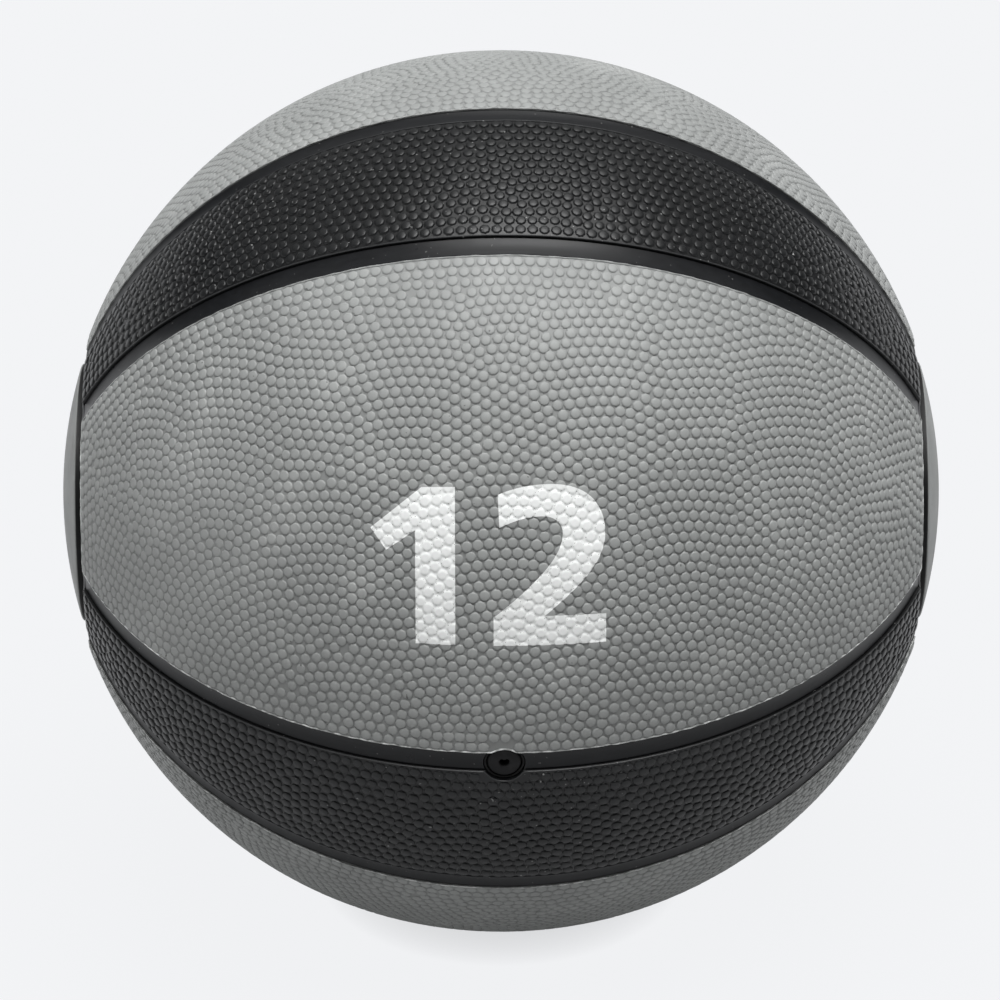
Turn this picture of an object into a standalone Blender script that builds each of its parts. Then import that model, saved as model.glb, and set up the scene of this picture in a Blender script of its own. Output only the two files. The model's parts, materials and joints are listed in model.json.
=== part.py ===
"""Rubber medicine ball with an inflation valve, 240 mm across.

Metres, +Z up, origin at the centre of the ball. The pole axis of the panel pattern is X. From inside to
outside: a butyl bladder, a nylon winding, a weighted rubber core in two halves, and a cover of four grey
panels, four black bands, two end caps and the channel strips and rings between them. The valve stem is
bonded to the bladder and comes out in a channel on the front, and the valve plug slides in the stem.
"""

import bmesh
import bpy
from math import asin, cos, pi, radians, sin, sqrt
from mathutils import Vector

# Ball and its layers
BALL_RADIUS = 0.1200
COVER_THICKNESS = 0.0040
CORE_THICKNESS = 0.0250
WINDING_THICKNESS = 0.0012
BLADDER_THICKNESS = 0.0016
FIT_GAP = 0.0003

# Panel pattern, counted upwards from the front
PANEL_NAMES = ["front", "top", "rear", "bottom"]
BAND_NAMES = ["upper_front", "upper_rear", "lower_rear", "lower_front"]
PANEL_EDGE_NAMES = [("lower", "upper"), ("front", "rear"), ("upper", "lower"), ("rear", "front")]
FRONT_ELEVATION = radians(25.0)
BAND_HALF_ANGLE = radians(10.4)
CHANNEL_WIDTH = 0.0055
CHANNEL_DEPTH = 0.0014
CHANNEL_LIP = 0.0004
CAP_RADIUS = 0.0383

# Valve
VALVE_CHANNEL = "channel_front_lower"
NEEDLE_HOLE_RADIUS = 0.0013
NEEDLE_HOLE_DEPTH = 0.0130
PLUG_WALL = 0.0015
PLUG_FOOT = 0.0030
PLUG_SHOULDER = 0.0014
PLUG_HEAD_THICKNESS = 0.0020
STEM_RIM = 0.0007
STEM_RECESS = 0.0009
STEM_OFFSET = 0.0005
FLANGE_OVERHANG = 0.0078
FLANGE_THICKNESS = 0.0020

# Facets
CELLS_ALONG = 14
GREY_CELLS_ACROSS = 7
BAND_CELLS_ACROSS = 3
CHANNEL_CELLS_ACROSS = 4
TURN_STEPS = 28
RING_STEPS = 40
CAP_STEPS = 3
HALF_SHELL_STEPS = 7
SHARP_ANGLE = radians(35.0)
MERGE_DISTANCE = 0.00001

# Angles of the pattern, seen from the centre
PANEL_PITCH = 2.0 * pi / len(PANEL_NAMES)
PANEL_EDGE_ANGLE = PANEL_PITCH / 2.0 - BAND_HALF_ANGLE
CHANNEL_ANGLE = CHANNEL_WIDTH / BALL_RADIUS
GAP_ANGLE = FIT_GAP / BALL_RADIUS
CAP_ANGLE = asin(CAP_RADIUS / BALL_RADIUS)
PANEL_END_LATITUDE = pi / 2.0 - CAP_ANGLE - CHANNEL_ANGLE - GAP_ANGLE / 2.0

# Radii of the layers. A faceted panel dips inside its own sphere between the corners of a cell.
PANEL_CELL_ANGLE = 2.0 * PANEL_END_LATITUDE / CELLS_ALONG
COVER_INNER = BALL_RADIUS - COVER_THICKNESS
CORE_OUTER = COVER_INNER * cos(PANEL_CELL_ANGLE / sqrt(2.0)) - FIT_GAP
CORE_INNER = CORE_OUTER - CORE_THICKNESS
WINDING_OUTER = CORE_INNER - FIT_GAP
WINDING_INNER = WINDING_OUTER - WINDING_THICKNESS
BLADDER_OUTER = WINDING_INNER - FIT_GAP
BLADDER_INNER = BLADDER_OUTER - BLADDER_THICKNESS
SHELL_STEP = pi / 2.0 / HALF_SHELL_STEPS

# Valve radii and heights along its own axis
PLUG_SHANK_RADIUS = NEEDLE_HOLE_RADIUS + PLUG_WALL
PLUG_HEAD_RADIUS = PLUG_SHANK_RADIUS + PLUG_SHOULDER
STEM_BORE_RADIUS = PLUG_SHANK_RADIUS + FIT_GAP
STEM_SEAT_RADIUS = PLUG_HEAD_RADIUS + FIT_GAP
STEM_RADIUS = STEM_SEAT_RADIUS + STEM_RIM
STEM_HOLE_RADIUS = STEM_RADIUS + FIT_GAP
FLANGE_RADIUS = STEM_RADIUS + FLANGE_OVERHANG
FLANGE_TOP = BLADDER_INNER * cos(SHELL_STEP / 2.0) - FIT_GAP
VALVE_TOP = BALL_RADIUS - STEM_RECESS

# Directions of the turned pieces' own Z axis: out through the valve, and out at each pole
CHANNEL_MIDDLE_ANGLE = PANEL_EDGE_ANGLE - CHANNEL_ANGLE / 2.0
VALVE_ELEVATION = FRONT_ELEVATION - CHANNEL_MIDDLE_ANGLE - STEM_OFFSET / BALL_RADIUS
VALVE_ROTATION = (pi / 2.0 - VALVE_ELEVATION, 0.0, 0.0)
POLE_ROTATIONS = {"right": (0.0, pi / 2.0, 0.0), "left": (0.0, -pi / 2.0, 0.0)}


def clear_scene():
    for scene_object in list(bpy.data.objects):
        bpy.data.objects.remove(scene_object, do_unlink=True)


def make_collection(name):
    collection = bpy.data.collections.new(name)
    bpy.context.scene.collection.children.link(collection)
    return collection


def make_material(name, colour, roughness):
    material = bpy.data.materials.new(name)
    material.use_nodes = True
    shader = material.node_tree.nodes["Principled BSDF"]
    shader.inputs["Base Color"].default_value = (*colour, 1.0)
    shader.inputs["Roughness"].default_value = roughness
    shader.inputs["Metallic"].default_value = 0.0
    return material


def add_piece(mesh, collection, parent):
    """One named object for one piece, carried by the empty at the centre of the ball."""
    mesh.shade_smooth()
    mesh.set_sharp_from_angle(angle=SHARP_ANGLE)
    piece = bpy.data.objects.new(mesh.name, mesh)
    collection.objects.link(piece)
    piece.parent = parent
    return piece


def ball_point(radius, latitude, meridian):
    """Latitude runs from the X = 0 plane towards +X, meridian from the front (-Y) upwards."""
    ring_radius = radius * cos(latitude)
    return Vector((
        radius * sin(latitude),
        -ring_radius * cos(meridian),
        ring_radius * sin(meridian),
    ))


def channel_floor(across):
    """Radius of a channel's hollow face, across from 0 to 1 between its two lips."""
    hollow = 1.0 - (2.0 * across - 1.0) ** 2
    return BALL_RADIUS - CHANNEL_LIP - CHANNEL_DEPTH * hollow


def bent_slab(name, material, cells_along, cells_across, place):
    """A grid thickened to a slab, then bent: place(along, across, is_outer) puts each corner."""
    slab = bmesh.new()
    bmesh.ops.create_grid(slab, x_segments=cells_along, y_segments=cells_across, size=0.5)
    lifted = bmesh.ops.extrude_face_region(slab, geom=slab.faces[:])["geom"]
    lifted_corners = [item for item in lifted if isinstance(item, bmesh.types.BMVert)]
    bmesh.ops.translate(slab, verts=lifted_corners, vec=(0.0, 0.0, 1.0))
    for corner in slab.verts:
        corner.co = place(corner.co.x + 0.5, corner.co.y + 0.5, corner.co.z > 0.5)
    bmesh.ops.recalc_face_normals(slab, faces=slab.faces)
    if slab.calc_volume(signed=True) < 0.0:
        bmesh.ops.reverse_faces(slab, faces=slab.faces)
    mesh = bpy.data.meshes.new(name)
    slab.to_mesh(mesh)
    slab.free()
    mesh.materials.append(material)
    return mesh


def profile_mesh(name, material, profile):
    """Closed profile of (radius, height) points, down the outer side, with no edge along the axis."""
    outline = bmesh.new()
    corners = [outline.verts.new((radius, 0.0, height)) for radius, height in profile]
    for first, second in zip(corners, corners[1:] + corners[:1]):
        if first.co.x > 0.0 or second.co.x > 0.0:
            outline.edges.new((first, second))
    mesh = bpy.data.meshes.new(name)
    outline.to_mesh(mesh)
    outline.free()
    mesh.materials.append(material)
    return mesh


def turn(piece, steps, rotation):
    screw = piece.modifiers.new("Turn", "SCREW")
    screw.axis = "Z"
    screw.angle = 2.0 * pi
    screw.steps = steps
    screw.render_steps = steps
    screw.use_merge_vertices = True
    screw.merge_threshold = MERGE_DISTANCE
    screw.use_smooth_shade = True
    piece.rotation_euler = rotation


def polar_arc(radius, angles):
    """Points (distance from the axis, height) at these angles from the axis."""
    return [(radius * sin(angle), radius * cos(angle)) for angle in angles]


def grey_half_width(latitude):
    """Angle from a grey panel's middle to its edge, which keeps one channel width from the band."""
    return PANEL_EDGE_ANGLE - asin((CHANNEL_ANGLE + GAP_ANGLE / 2.0) / cos(latitude))


def band_half_width(latitude):
    return BAND_HALF_ANGLE - asin(GAP_ANGLE / 2.0 / cos(latitude))


def panel_mesh(name, material, middle, half_width, cells_across):
    """Cover panel from ring to ring, on both sides of the meridian at its middle."""
    def place(along, across, is_outer):
        latitude = PANEL_END_LATITUDE * (2.0 * along - 1.0)
        meridian = middle + half_width(latitude) * (2.0 * across - 1.0)
        return ball_point(BALL_RADIUS if is_outer else COVER_INNER, latitude, meridian)
    return bent_slab(name, material, CELLS_ALONG, cells_across, place)


def channel_mesh(name, material, edge_meridian, inward, start, end):
    """Strip beside a band, inward (+1 or -1) to the grey panel. Start and end are shares of its length."""
    def place(along, across, is_outer):
        latitude = PANEL_END_LATITUDE * (2.0 * (start + (end - start) * along) - 1.0)
        offset = GAP_ANGLE / 2.0 + (CHANNEL_ANGLE - GAP_ANGLE) * across
        meridian = edge_meridian + inward * asin(offset / cos(latitude))
        return ball_point(channel_floor(across) if is_outer else COVER_INNER, latitude, meridian)
    return bent_slab(name, material, round(CELLS_ALONG * (end - start)), CHANNEL_CELLS_ACROSS, place)


def cap_profile():
    rim_angle = CAP_ANGLE - GAP_ANGLE / 2.0
    angles = [rim_angle * step / CAP_STEPS for step in range(CAP_STEPS + 1)]
    return polar_arc(BALL_RADIUS, angles) + polar_arc(COVER_INNER, reversed(angles))


def ring_profile():
    first = CAP_ANGLE + GAP_ANGLE / 2.0
    width = CHANNEL_ANGLE - GAP_ANGLE
    face = []
    for step in range(CHANNEL_CELLS_ACROSS + 1):
        across = step / CHANNEL_CELLS_ACROSS
        face += polar_arc(channel_floor(across), [first + width * across])
    return face + polar_arc(COVER_INNER, [first + width, first])


def shell_angles(radius, first_step, last_step):
    """Angles from the valve axis: from the stem's hole or the seam, to the seam or the far pole."""
    half_seam = FIT_GAP / 2.0 / radius
    angles = [SHELL_STEP * step for step in range(first_step, last_step + 1)]
    angles[0] = asin(STEM_HOLE_RADIUS / radius) if first_step == 0 else angles[0] + half_seam
    if last_step == HALF_SHELL_STEPS:
        angles[-1] -= half_seam
    return angles


def shell_profile(outer, inner, first_step, last_step):
    outer_side = polar_arc(outer, shell_angles(outer, first_step, last_step))
    inner_side = polar_arc(inner, reversed(shell_angles(inner, first_step, last_step)))
    if last_step == 2 * HALF_SHELL_STEPS:
        outer_side[-1] = (0.0, -outer)
        inner_side[0] = (0.0, -inner)
    return outer_side + inner_side


def stem_profile():
    seat = VALVE_TOP - PLUG_HEAD_THICKNESS - FIT_GAP
    flange_neck = sqrt(FLANGE_TOP ** 2 - STEM_RADIUS ** 2)
    flange_rim = sqrt(FLANGE_TOP ** 2 - FLANGE_RADIUS ** 2)
    return [
        (STEM_SEAT_RADIUS, VALVE_TOP),
        (STEM_RADIUS, VALVE_TOP),
        (STEM_RADIUS, flange_neck),
        (FLANGE_RADIUS, flange_rim),
        (FLANGE_RADIUS, flange_rim - FLANGE_THICKNESS),
        (STEM_BORE_RADIUS, flange_neck - FLANGE_THICKNESS),
        (STEM_BORE_RADIUS, seat),
        (STEM_SEAT_RADIUS, seat),
    ]


def plug_profile():
    shoulder = VALVE_TOP - PLUG_HEAD_THICKNESS
    hole_bottom = VALVE_TOP - NEEDLE_HOLE_DEPTH
    foot = hole_bottom - PLUG_FOOT
    return [
        (0.0, hole_bottom),
        (NEEDLE_HOLE_RADIUS, hole_bottom),
        (NEEDLE_HOLE_RADIUS, VALVE_TOP),
        (PLUG_HEAD_RADIUS, VALVE_TOP),
        (PLUG_HEAD_RADIUS, shoulder),
        (PLUG_SHANK_RADIUS, shoulder),
        (PLUG_SHANK_RADIUS, foot),
        (0.0, foot),
    ]


def hole_cutter_profile():
    """Solid round bar through the whole cover."""
    top = BALL_RADIUS + COVER_THICKNESS
    bottom = COVER_INNER - COVER_THICKNESS
    return [(0.0, top), (STEM_HOLE_RADIUS, top), (STEM_HOLE_RADIUS, bottom), (0.0, bottom)]


def make_hole_cutter(collection, parent, material):
    cutter = add_piece(profile_mesh("valve_hole_cutter", material, hole_cutter_profile()), collection, parent)
    turn(cutter, TURN_STEPS, VALVE_ROTATION)
    cutter.hide_render = True
    cutter.display_type = "WIRE"
    return cutter


def cut_valve_hole(piece, cutter):
    cut = piece.modifiers.new("Valve hole", "BOOLEAN")
    cut.operation = "DIFFERENCE"
    cut.solver = "EXACT"
    cut.object = cutter


def make_panels(collection, parent, grey, black):
    for index, (panel_name, band_name) in enumerate(zip(PANEL_NAMES, BAND_NAMES)):
        panel_middle = FRONT_ELEVATION + index * PANEL_PITCH
        band_middle = panel_middle + PANEL_PITCH / 2.0
        panel = panel_mesh("grey_panel_" + panel_name, grey, panel_middle, grey_half_width, GREY_CELLS_ACROSS)
        band = panel_mesh("black_band_" + band_name, black, band_middle, band_half_width, BAND_CELLS_ACROSS)
        add_piece(panel, collection, parent)
        add_piece(band, collection, parent)


def make_channels(collection, parent, black, cutter):
    """Two strips to each grey panel. The one that meets the valve is laid in two lengths."""
    for index, panel_name in enumerate(PANEL_NAMES):
        panel_middle = FRONT_ELEVATION + index * PANEL_PITCH
        for side, edge_name in zip((-1.0, 1.0), PANEL_EDGE_NAMES[index]):
            name = "channel_" + panel_name + "_" + edge_name
            edge_meridian = panel_middle + side * PANEL_EDGE_ANGLE
            lengths = {name: (0.0, 1.0)}
            if name == VALVE_CHANNEL:
                lengths = {name + "_left": (0.0, 0.5), name + "_right": (0.5, 1.0)}
            for piece_name, (start, end) in lengths.items():
                strip = channel_mesh(piece_name, black, edge_meridian, -side, start, end)
                piece = add_piece(strip, collection, parent)
                if name == VALVE_CHANNEL:
                    cut_valve_hole(piece, cutter)


def make_ends(collection, parent, grey, black):
    for side, rotation in POLE_ROTATIONS.items():
        cap = add_piece(profile_mesh("end_cap_" + side, grey, cap_profile()), collection, parent)
        turn(cap, TURN_STEPS, rotation)
        ring = add_piece(profile_mesh("cap_ring_" + side, black, ring_profile()), collection, parent)
        turn(ring, RING_STEPS, rotation)


def make_inside(collection, parent, core, thread, butyl):
    half = HALF_SHELL_STEPS
    shells = [
        ("core_half_valve_side", core, CORE_OUTER, CORE_INNER, 0, half),
        ("core_half_far_side", core, CORE_OUTER, CORE_INNER, half, 2 * half),
        ("nylon_winding", thread, WINDING_OUTER, WINDING_INNER, 0, 2 * half),
        ("bladder", butyl, BLADDER_OUTER, BLADDER_INNER, 0, 2 * half),
    ]
    for name, material, outer, inner, first_step, last_step in shells:
        profile = shell_profile(outer, inner, first_step, last_step)
        shell = add_piece(profile_mesh(name, material, profile), collection, parent)
        turn(shell, TURN_STEPS, VALVE_ROTATION)


def make_valve(collection, parent, stem_rubber, plug_rubber):
    stem = add_piece(profile_mesh("valve_stem", stem_rubber, stem_profile()), collection, parent)
    turn(stem, TURN_STEPS, VALVE_ROTATION)
    plug = add_piece(profile_mesh("valve_plug", plug_rubber, plug_profile()), collection, parent)
    turn(plug, TURN_STEPS, VALVE_ROTATION)


def main():
    clear_scene()
    pieces = make_collection("medicine_ball")
    cutters = make_collection("medicine_ball_cutters")
    centre = bpy.data.objects.new("medicine_ball_centre", None)
    pieces.objects.link(centre)

    grey = make_material("grey_pebbled_rubber", (0.262, 0.268, 0.265), 0.62)
    black = make_material("black_pebbled_rubber", (0.018, 0.018, 0.019), 0.48)
    core = make_material("weighted_core_rubber", (0.030, 0.029, 0.028), 0.75)
    thread = make_material("nylon_thread", (0.640, 0.630, 0.600), 0.55)
    butyl = make_material("butyl_rubber", (0.022, 0.022, 0.022), 0.55)
    stem_rubber = make_material("valve_stem_rubber", (0.014, 0.014, 0.014), 0.45)
    plug_rubber = make_material("valve_plug_rubber", (0.016, 0.016, 0.017), 0.42)

    cutter = make_hole_cutter(cutters, centre, black)
    make_inside(pieces, centre, core, thread, butyl)
    make_panels(pieces, centre, grey, black)
    make_channels(pieces, centre, black, cutter)
    make_ends(pieces, centre, grey, black)
    make_valve(pieces, centre, stem_rubber, plug_rubber)
    cut_valve_hole(bpy.data.objects["grey_panel_front"], cutter)
    cut_valve_hole(bpy.data.objects["black_band_lower_front"], cutter)


main()
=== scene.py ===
"""Looks of a rubber medicine ball: pebbled panels and bands, smooth channels, a valve and a printed number.

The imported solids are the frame. Every piece but the print stands for one of them, in metres and in the same
place, with the pole axis of the panel pattern along X, the printed panel towards -Y and +Z up.
"""

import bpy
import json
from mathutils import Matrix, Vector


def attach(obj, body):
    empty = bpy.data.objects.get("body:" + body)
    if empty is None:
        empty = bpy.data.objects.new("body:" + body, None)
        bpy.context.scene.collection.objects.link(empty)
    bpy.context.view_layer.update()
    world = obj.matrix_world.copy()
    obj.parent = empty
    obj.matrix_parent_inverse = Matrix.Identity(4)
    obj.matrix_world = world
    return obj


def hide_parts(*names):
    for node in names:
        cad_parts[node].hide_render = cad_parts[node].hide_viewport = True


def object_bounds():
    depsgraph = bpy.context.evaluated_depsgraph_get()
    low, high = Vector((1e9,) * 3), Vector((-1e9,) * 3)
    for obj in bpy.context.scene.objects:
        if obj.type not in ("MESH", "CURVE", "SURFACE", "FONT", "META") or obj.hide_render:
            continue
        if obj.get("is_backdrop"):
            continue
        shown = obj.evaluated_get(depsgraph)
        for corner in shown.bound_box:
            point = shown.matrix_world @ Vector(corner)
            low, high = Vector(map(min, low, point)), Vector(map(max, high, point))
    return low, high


bl_info = {
    "name": "Pebbled Medicine Ball",
    "version": (1, 0, 0),
    "blender": (4, 5, 0),
    "location": "3D View > Sidebar > Medicine Ball",
    "description": "Pebbled rubber cover, channels, valve and printed number of a medicine ball",
    "category": "Object",
}

import json
from math import asin, atan2, cos, hypot, pi, radians, sin, sqrt
from types import SimpleNamespace

import bmesh
import bpy
import numpy as np
from bpy.props import FloatProperty, FloatVectorProperty, IntProperty, PointerProperty, StringProperty
from bpy.types import Operator, Panel, PropertyGroup
from mathutils import Vector, geometry, kdtree, noise

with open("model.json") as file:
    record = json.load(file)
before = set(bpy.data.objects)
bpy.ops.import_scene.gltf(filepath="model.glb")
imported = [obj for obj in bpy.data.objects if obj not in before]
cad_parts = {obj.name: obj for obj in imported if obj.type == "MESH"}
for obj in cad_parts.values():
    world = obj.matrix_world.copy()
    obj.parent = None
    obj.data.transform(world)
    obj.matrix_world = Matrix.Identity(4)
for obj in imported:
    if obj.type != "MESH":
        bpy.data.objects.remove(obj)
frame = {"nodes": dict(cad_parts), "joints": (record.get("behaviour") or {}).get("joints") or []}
CAD_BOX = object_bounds()

# Names of the pieces, counted upwards from the front
PANEL_NAMES = ("front", "top", "rear", "bottom")
BAND_NAMES = ("upper_front", "upper_rear", "lower_rear", "lower_front")
PANEL_EDGE_NAMES = (("lower", "upper"), ("front", "rear"), ("upper", "lower"), ("rear", "front"))
VALVE_CHANNEL = "channel_front_lower"
POLE_SIDES = {"right": 1.0, "left": -1.0}
MM = 0.001
RUBBER_IOR = 1.52
DUST = "#bfc0be"
DARK_SPECKS = "#454545"

# Camera sensor in millimetres, and the shift of the picture in sensor widths
SENSOR_WIDTH = 36.0
CAMERA_SHIFT = (-0.00104, -0.0092)

# Cells along a panel or band, across a channel and along half of it, and steps round the turned pieces
CELLS_ALONG = 48
CHANNEL_CELLS_ACROSS = 14
CHANNEL_CELLS_HALFWAY = 110
CAP_STEPS = 144
RING_STEPS = 288
VALVE_STEPS = 72

# Edges sharper than this stay sharp on smooth pieces, on pebbled ones and on the print
SHARP_ANGLE = radians(40.0)
PEBBLED_SHARP_ANGLE = radians(55.0)
PRINT_SHARP_ANGLE = radians(60.0)

# Least distance from the edge of the valve's hole: of a pebble's middle, as a share of its diameter, and of
# the line that runs round a panel or band
PEBBLE_CLEARANCE = 0.42
LINE_CLEARANCE = 0.1 * MM

# Distances between pebbles as shares of the pitch: between the rings of a fan, the least of all, along the
# first border row and the next ones, how far crowded pebbles push, and the grid that looks for gaps
ROW_SHARE = 0.885
LEAST_SHARE = 0.88
FIRST_ROW_SPACING = 1.05
NEXT_ROW_SPACING = 1.03
PUSH_REACH = 1.18
GAP_GRID = 0.3
FILL_ROUNDS = 2
SPREAD_ROUNDS = 12

# Fans of pebble rings, in millimetres along a piece and up from its middle line: the centre of the rings,
# and the left, right, lower and upper end of the part that they fill. A panel's left half mirrors these.
PANEL_FANS = (
    (0.0, 28.0, 0.0, 12.5, 30.0, 70.0), (25.0, -4.0, 12.5, 42.0, 30.0, 70.0),
    (25.0, -4.0, 0.0, 42.0, 8.0, 30.0), (54.0, -20.0, 42.0, 59.0, 8.0, 70.0),
    (0.0, -50.0, 0.0, 20.0, -36.0, 8.0), (48.5, -36.0, 20.0, 59.0, -36.0, 8.0),
    (19.5, -53.0, 0.0, 32.0, -70.0, -36.0), (48.5, -75.0, 32.0, 59.0, -70.0, -36.0),
    (79.0, -20.0, 59.0, 92.0, -12.0, 70.0), (50.0, -70.0, 59.0, 150.0, -70.0, -12.0),
    (105.0, 0.0, 92.0, 150.0, -12.0, 70.0),
)
BAND_FANS = (
    (-76.0, -35.0, -150.0, -62.0, -30.0, 30.0), (-38.0, -35.0, -62.0, -21.0, -30.0, 30.0),
    (-10.0, -14.0, -21.0, -3.0, -30.0, 30.0), (12.0, -25.0, -3.0, 33.0, -30.0, 30.0),
    (42.0, -35.0, 33.0, 63.0, -30.0, 30.0), (78.0, -35.0, 63.0, 150.0, -30.0, 30.0),
)

# Shallow parts of the panels' mould, as shares of the ball radius along the panel and up from its middle
# line: place, half length, half height, and the share of the pebbles' height that is lost there. The top
# panel has one more, along the edge that faces the front.
PANEL_SHALLOWS = ((-0.72, -0.12, 0.34, 0.3, 0.55), (0.0, 0.52, 0.45, 0.22, 0.5))
TOP_SHALLOW = (0.0, -0.5, 1.2, 0.6, 0.4)


def linear(hex_code):
    """Linear colour of an sRGB hex value such as #8b8d8c."""
    shares = [int(hex_code[start:start + 2], 16) / 255.0 for start in (1, 3, 5)]
    return tuple(s / 12.92 if s <= 0.04045 else ((s + 0.055) / 1.055) ** 2.4 for s in shares)


def length_setting(name, description, default):
    return FloatProperty(name=name, description=description, default=default, min=0.0, precision=5,
                         subtype="DISTANCE", unit="LENGTH")


def angle_setting(name, description, default):
    return FloatProperty(name=name, description=description, default=default,
                         subtype="ANGLE", unit="ROTATION")


def level_setting(name, description, default):
    return FloatProperty(name=name, description=description, default=default, min=0.0)


def colour_setting(name, description, hex_code):
    return FloatVectorProperty(name=name, description=description, default=linear(hex_code), size=3,
                               min=0.0, max=1.0, subtype="COLOR")


class BallSizes(PropertyGroup):
    """Sizes of the ball and of its panel pattern."""

    ball_radius: length_setting("Ball radius", "Outside of the cover", (CAD_BOX[1].x - CAD_BOX[0].x) / 2.0)
    cover_thickness: length_setting("Cover", "Thickness of panels, bands and strips", 4.0 * MM)
    skin_sink: length_setting("Skin sink", "Depth of the rubber between the pebbles", 0.25 * MM)
    fit_gap: length_setting("Joint gap", "Gap between neighbouring pieces of the cover", 0.3 * MM)
    front_elevation: angle_setting("Front elevation", "Front panel above the horizon", radians(25.0))
    band_half_angle: angle_setting("Band half angle", "Half the width of a black band", radians(10.4))
    channel_width: length_setting("Channel width", "Smooth strip beside each band", 5.5 * MM)
    channel_hollow: length_setting("Channel hollow", "Depth of the strip below its two edges", 0.25 * MM)
    band_step: length_setting("Band step", "Drop from a band to the strip beside it", 0.95 * MM)
    panel_step: length_setting("Panel step", "Drop from a grey panel to the strip beside it", 0.6 * MM)
    cap_radius: length_setting("Cap radius", "Sets where panels and bands end at a pole", 38.3 * MM)
    ring_groove: length_setting("Ring groove", "Depth of the ring's groove beside the cap", 1.9 * MM)
    grey_rounding: length_setting("Grey edge", "Rounding of the edges of grey panels", 0.7 * MM)
    cap_edge: length_setting("Cap edge", "Radius of the smooth end cap inside its ring", 35.6 * MM)
    cap_sink: length_setting("Cap sink", "Depth of the end cap below the outside of the ball", 0.75 * MM)
    cap_rounding: length_setting("Cap rounding", "Rounding of the edge of an end cap", 0.5 * MM)
    band_rounding: length_setting("Band edge", "Rounding of the edges of black bands", 0.3 * MM)
    flash_width: length_setting("Flash line", "Thickness of the trimmed line round a grey panel", 0.42 * MM)
    bead_width: length_setting("Band bead", "Thickness of the moulded bead round a black band", 0.32 * MM)


class PebbleSizes(PropertyGroup):
    """Sizes of the moulded pebbles."""

    pitch: length_setting("Pitch", "Distance between neighbouring pebbles", 2.9 * MM)
    diameter: length_setting("Diameter", "Width of a pebble at its foot", 2.96 * MM)
    height: length_setting("Height", "Height of a pebble above the skin", 0.37 * MM)
    border: length_setting("Border", "Distance of the first row from the edge", 2.0 * MM)
    border_rows: IntProperty(name="Border rows", description="Rows of pebbles that run along the edges",
                             default=3, min=1)
    seed: IntProperty(name="Seed", description="Seed of the small differences between pebbles", default=12)


class ValveSizes(PropertyGroup):
    """Sizes of the valve stem and of the plug in it."""

    face_depth: length_setting("Face depth", "Face of the plug below the outside of the ball", 0.9 * MM)
    head_radius: length_setting("Head radius", "Head of the plug", 4.3 * MM)
    head_thickness: length_setting("Head thickness", "Head of the plug", 2.0 * MM)
    shank_radius: length_setting("Shank radius", "Shank of the plug", 2.8 * MM)
    plug_length: length_setting("Plug length", "From the face to the foot", 16.0 * MM)
    hole_radius: length_setting("Needle hole", "Radius of the needle hole", 1.2 * MM)
    hole_depth: length_setting("Hole depth", "Depth of the needle hole", 13.0 * MM)
    stem_radius: length_setting("Stem radius", "Outside of the stem", 5.2 * MM)
    recess_radius: length_setting("Recess radius", "Hole for the valve in the black pieces", 5.4 * MM)
    grey_recess_radius: length_setting("Grey recess", "Hole for the valve in the grey panel", 4.75 * MM)


class NumberSizes(PropertyGroup):
    """The printed number and its ink."""

    digits: StringProperty(name="Digits", description="Number on the front panel, of the digits 1 and 2",
                           default="12")
    ink: length_setting("Ink", "Thickness of the ink", 0.06 * MM)
    grain: length_setting("Grain", "Size of the triangles that follow the pebbles", 0.34 * MM)


class RubberColours(PropertyGroup):
    """Colours of the rubber compounds and of the ink."""

    grey: colour_setting("Grey", "Grey cover rubber", "#8c8e8d")
    black: colour_setting("Black", "Black cover rubber", "#161718")
    channel: colour_setting("Channel", "Smooth black rubber", "#141517")
    ink: colour_setting("Ink", "Printed number", "#e4e6e5")


class StudioSettings(PropertyGroup):
    """Camera, light and floor."""

    distance: length_setting("Distance", "From the camera to the centre of the ball", 1.38)
    elevation: angle_setting("Elevation", "Camera above the horizon", radians(26.95))
    azimuth: angle_setting("Azimuth", "Camera round the ball from the front", radians(-0.4))
    lens: level_setting("Lens", "Focal length in millimetres", 181.7)
    front_light: level_setting("Front light", "Irradiance of the front overhead light", 3.3)
    rear_light: level_setting("Rear light", "Irradiance of the rear overhead light", 0.9)
    wide_light: level_setting("Wide light", "Irradiance of the wide overhead light", 0.8)
    fill_light: level_setting("Fill light", "Irradiance of the weak light from the left", 0.5)
    light_angle: angle_setting("Light size", "Angle across the other lights", radians(40.0))
    wide_angle: angle_setting("Wide light size", "Angle across the wide overhead light", radians(100.0))
    ambient: level_setting("Ambient light", "Even light from all sides", 0.1)
    backdrop: colour_setting("Backdrop", "Floor and background as the camera sees them", "#f3f4f6")
    bounce: colour_setting("Bounce", "Floor as it lights the underside of the ball", "#a0a0a0")


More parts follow.
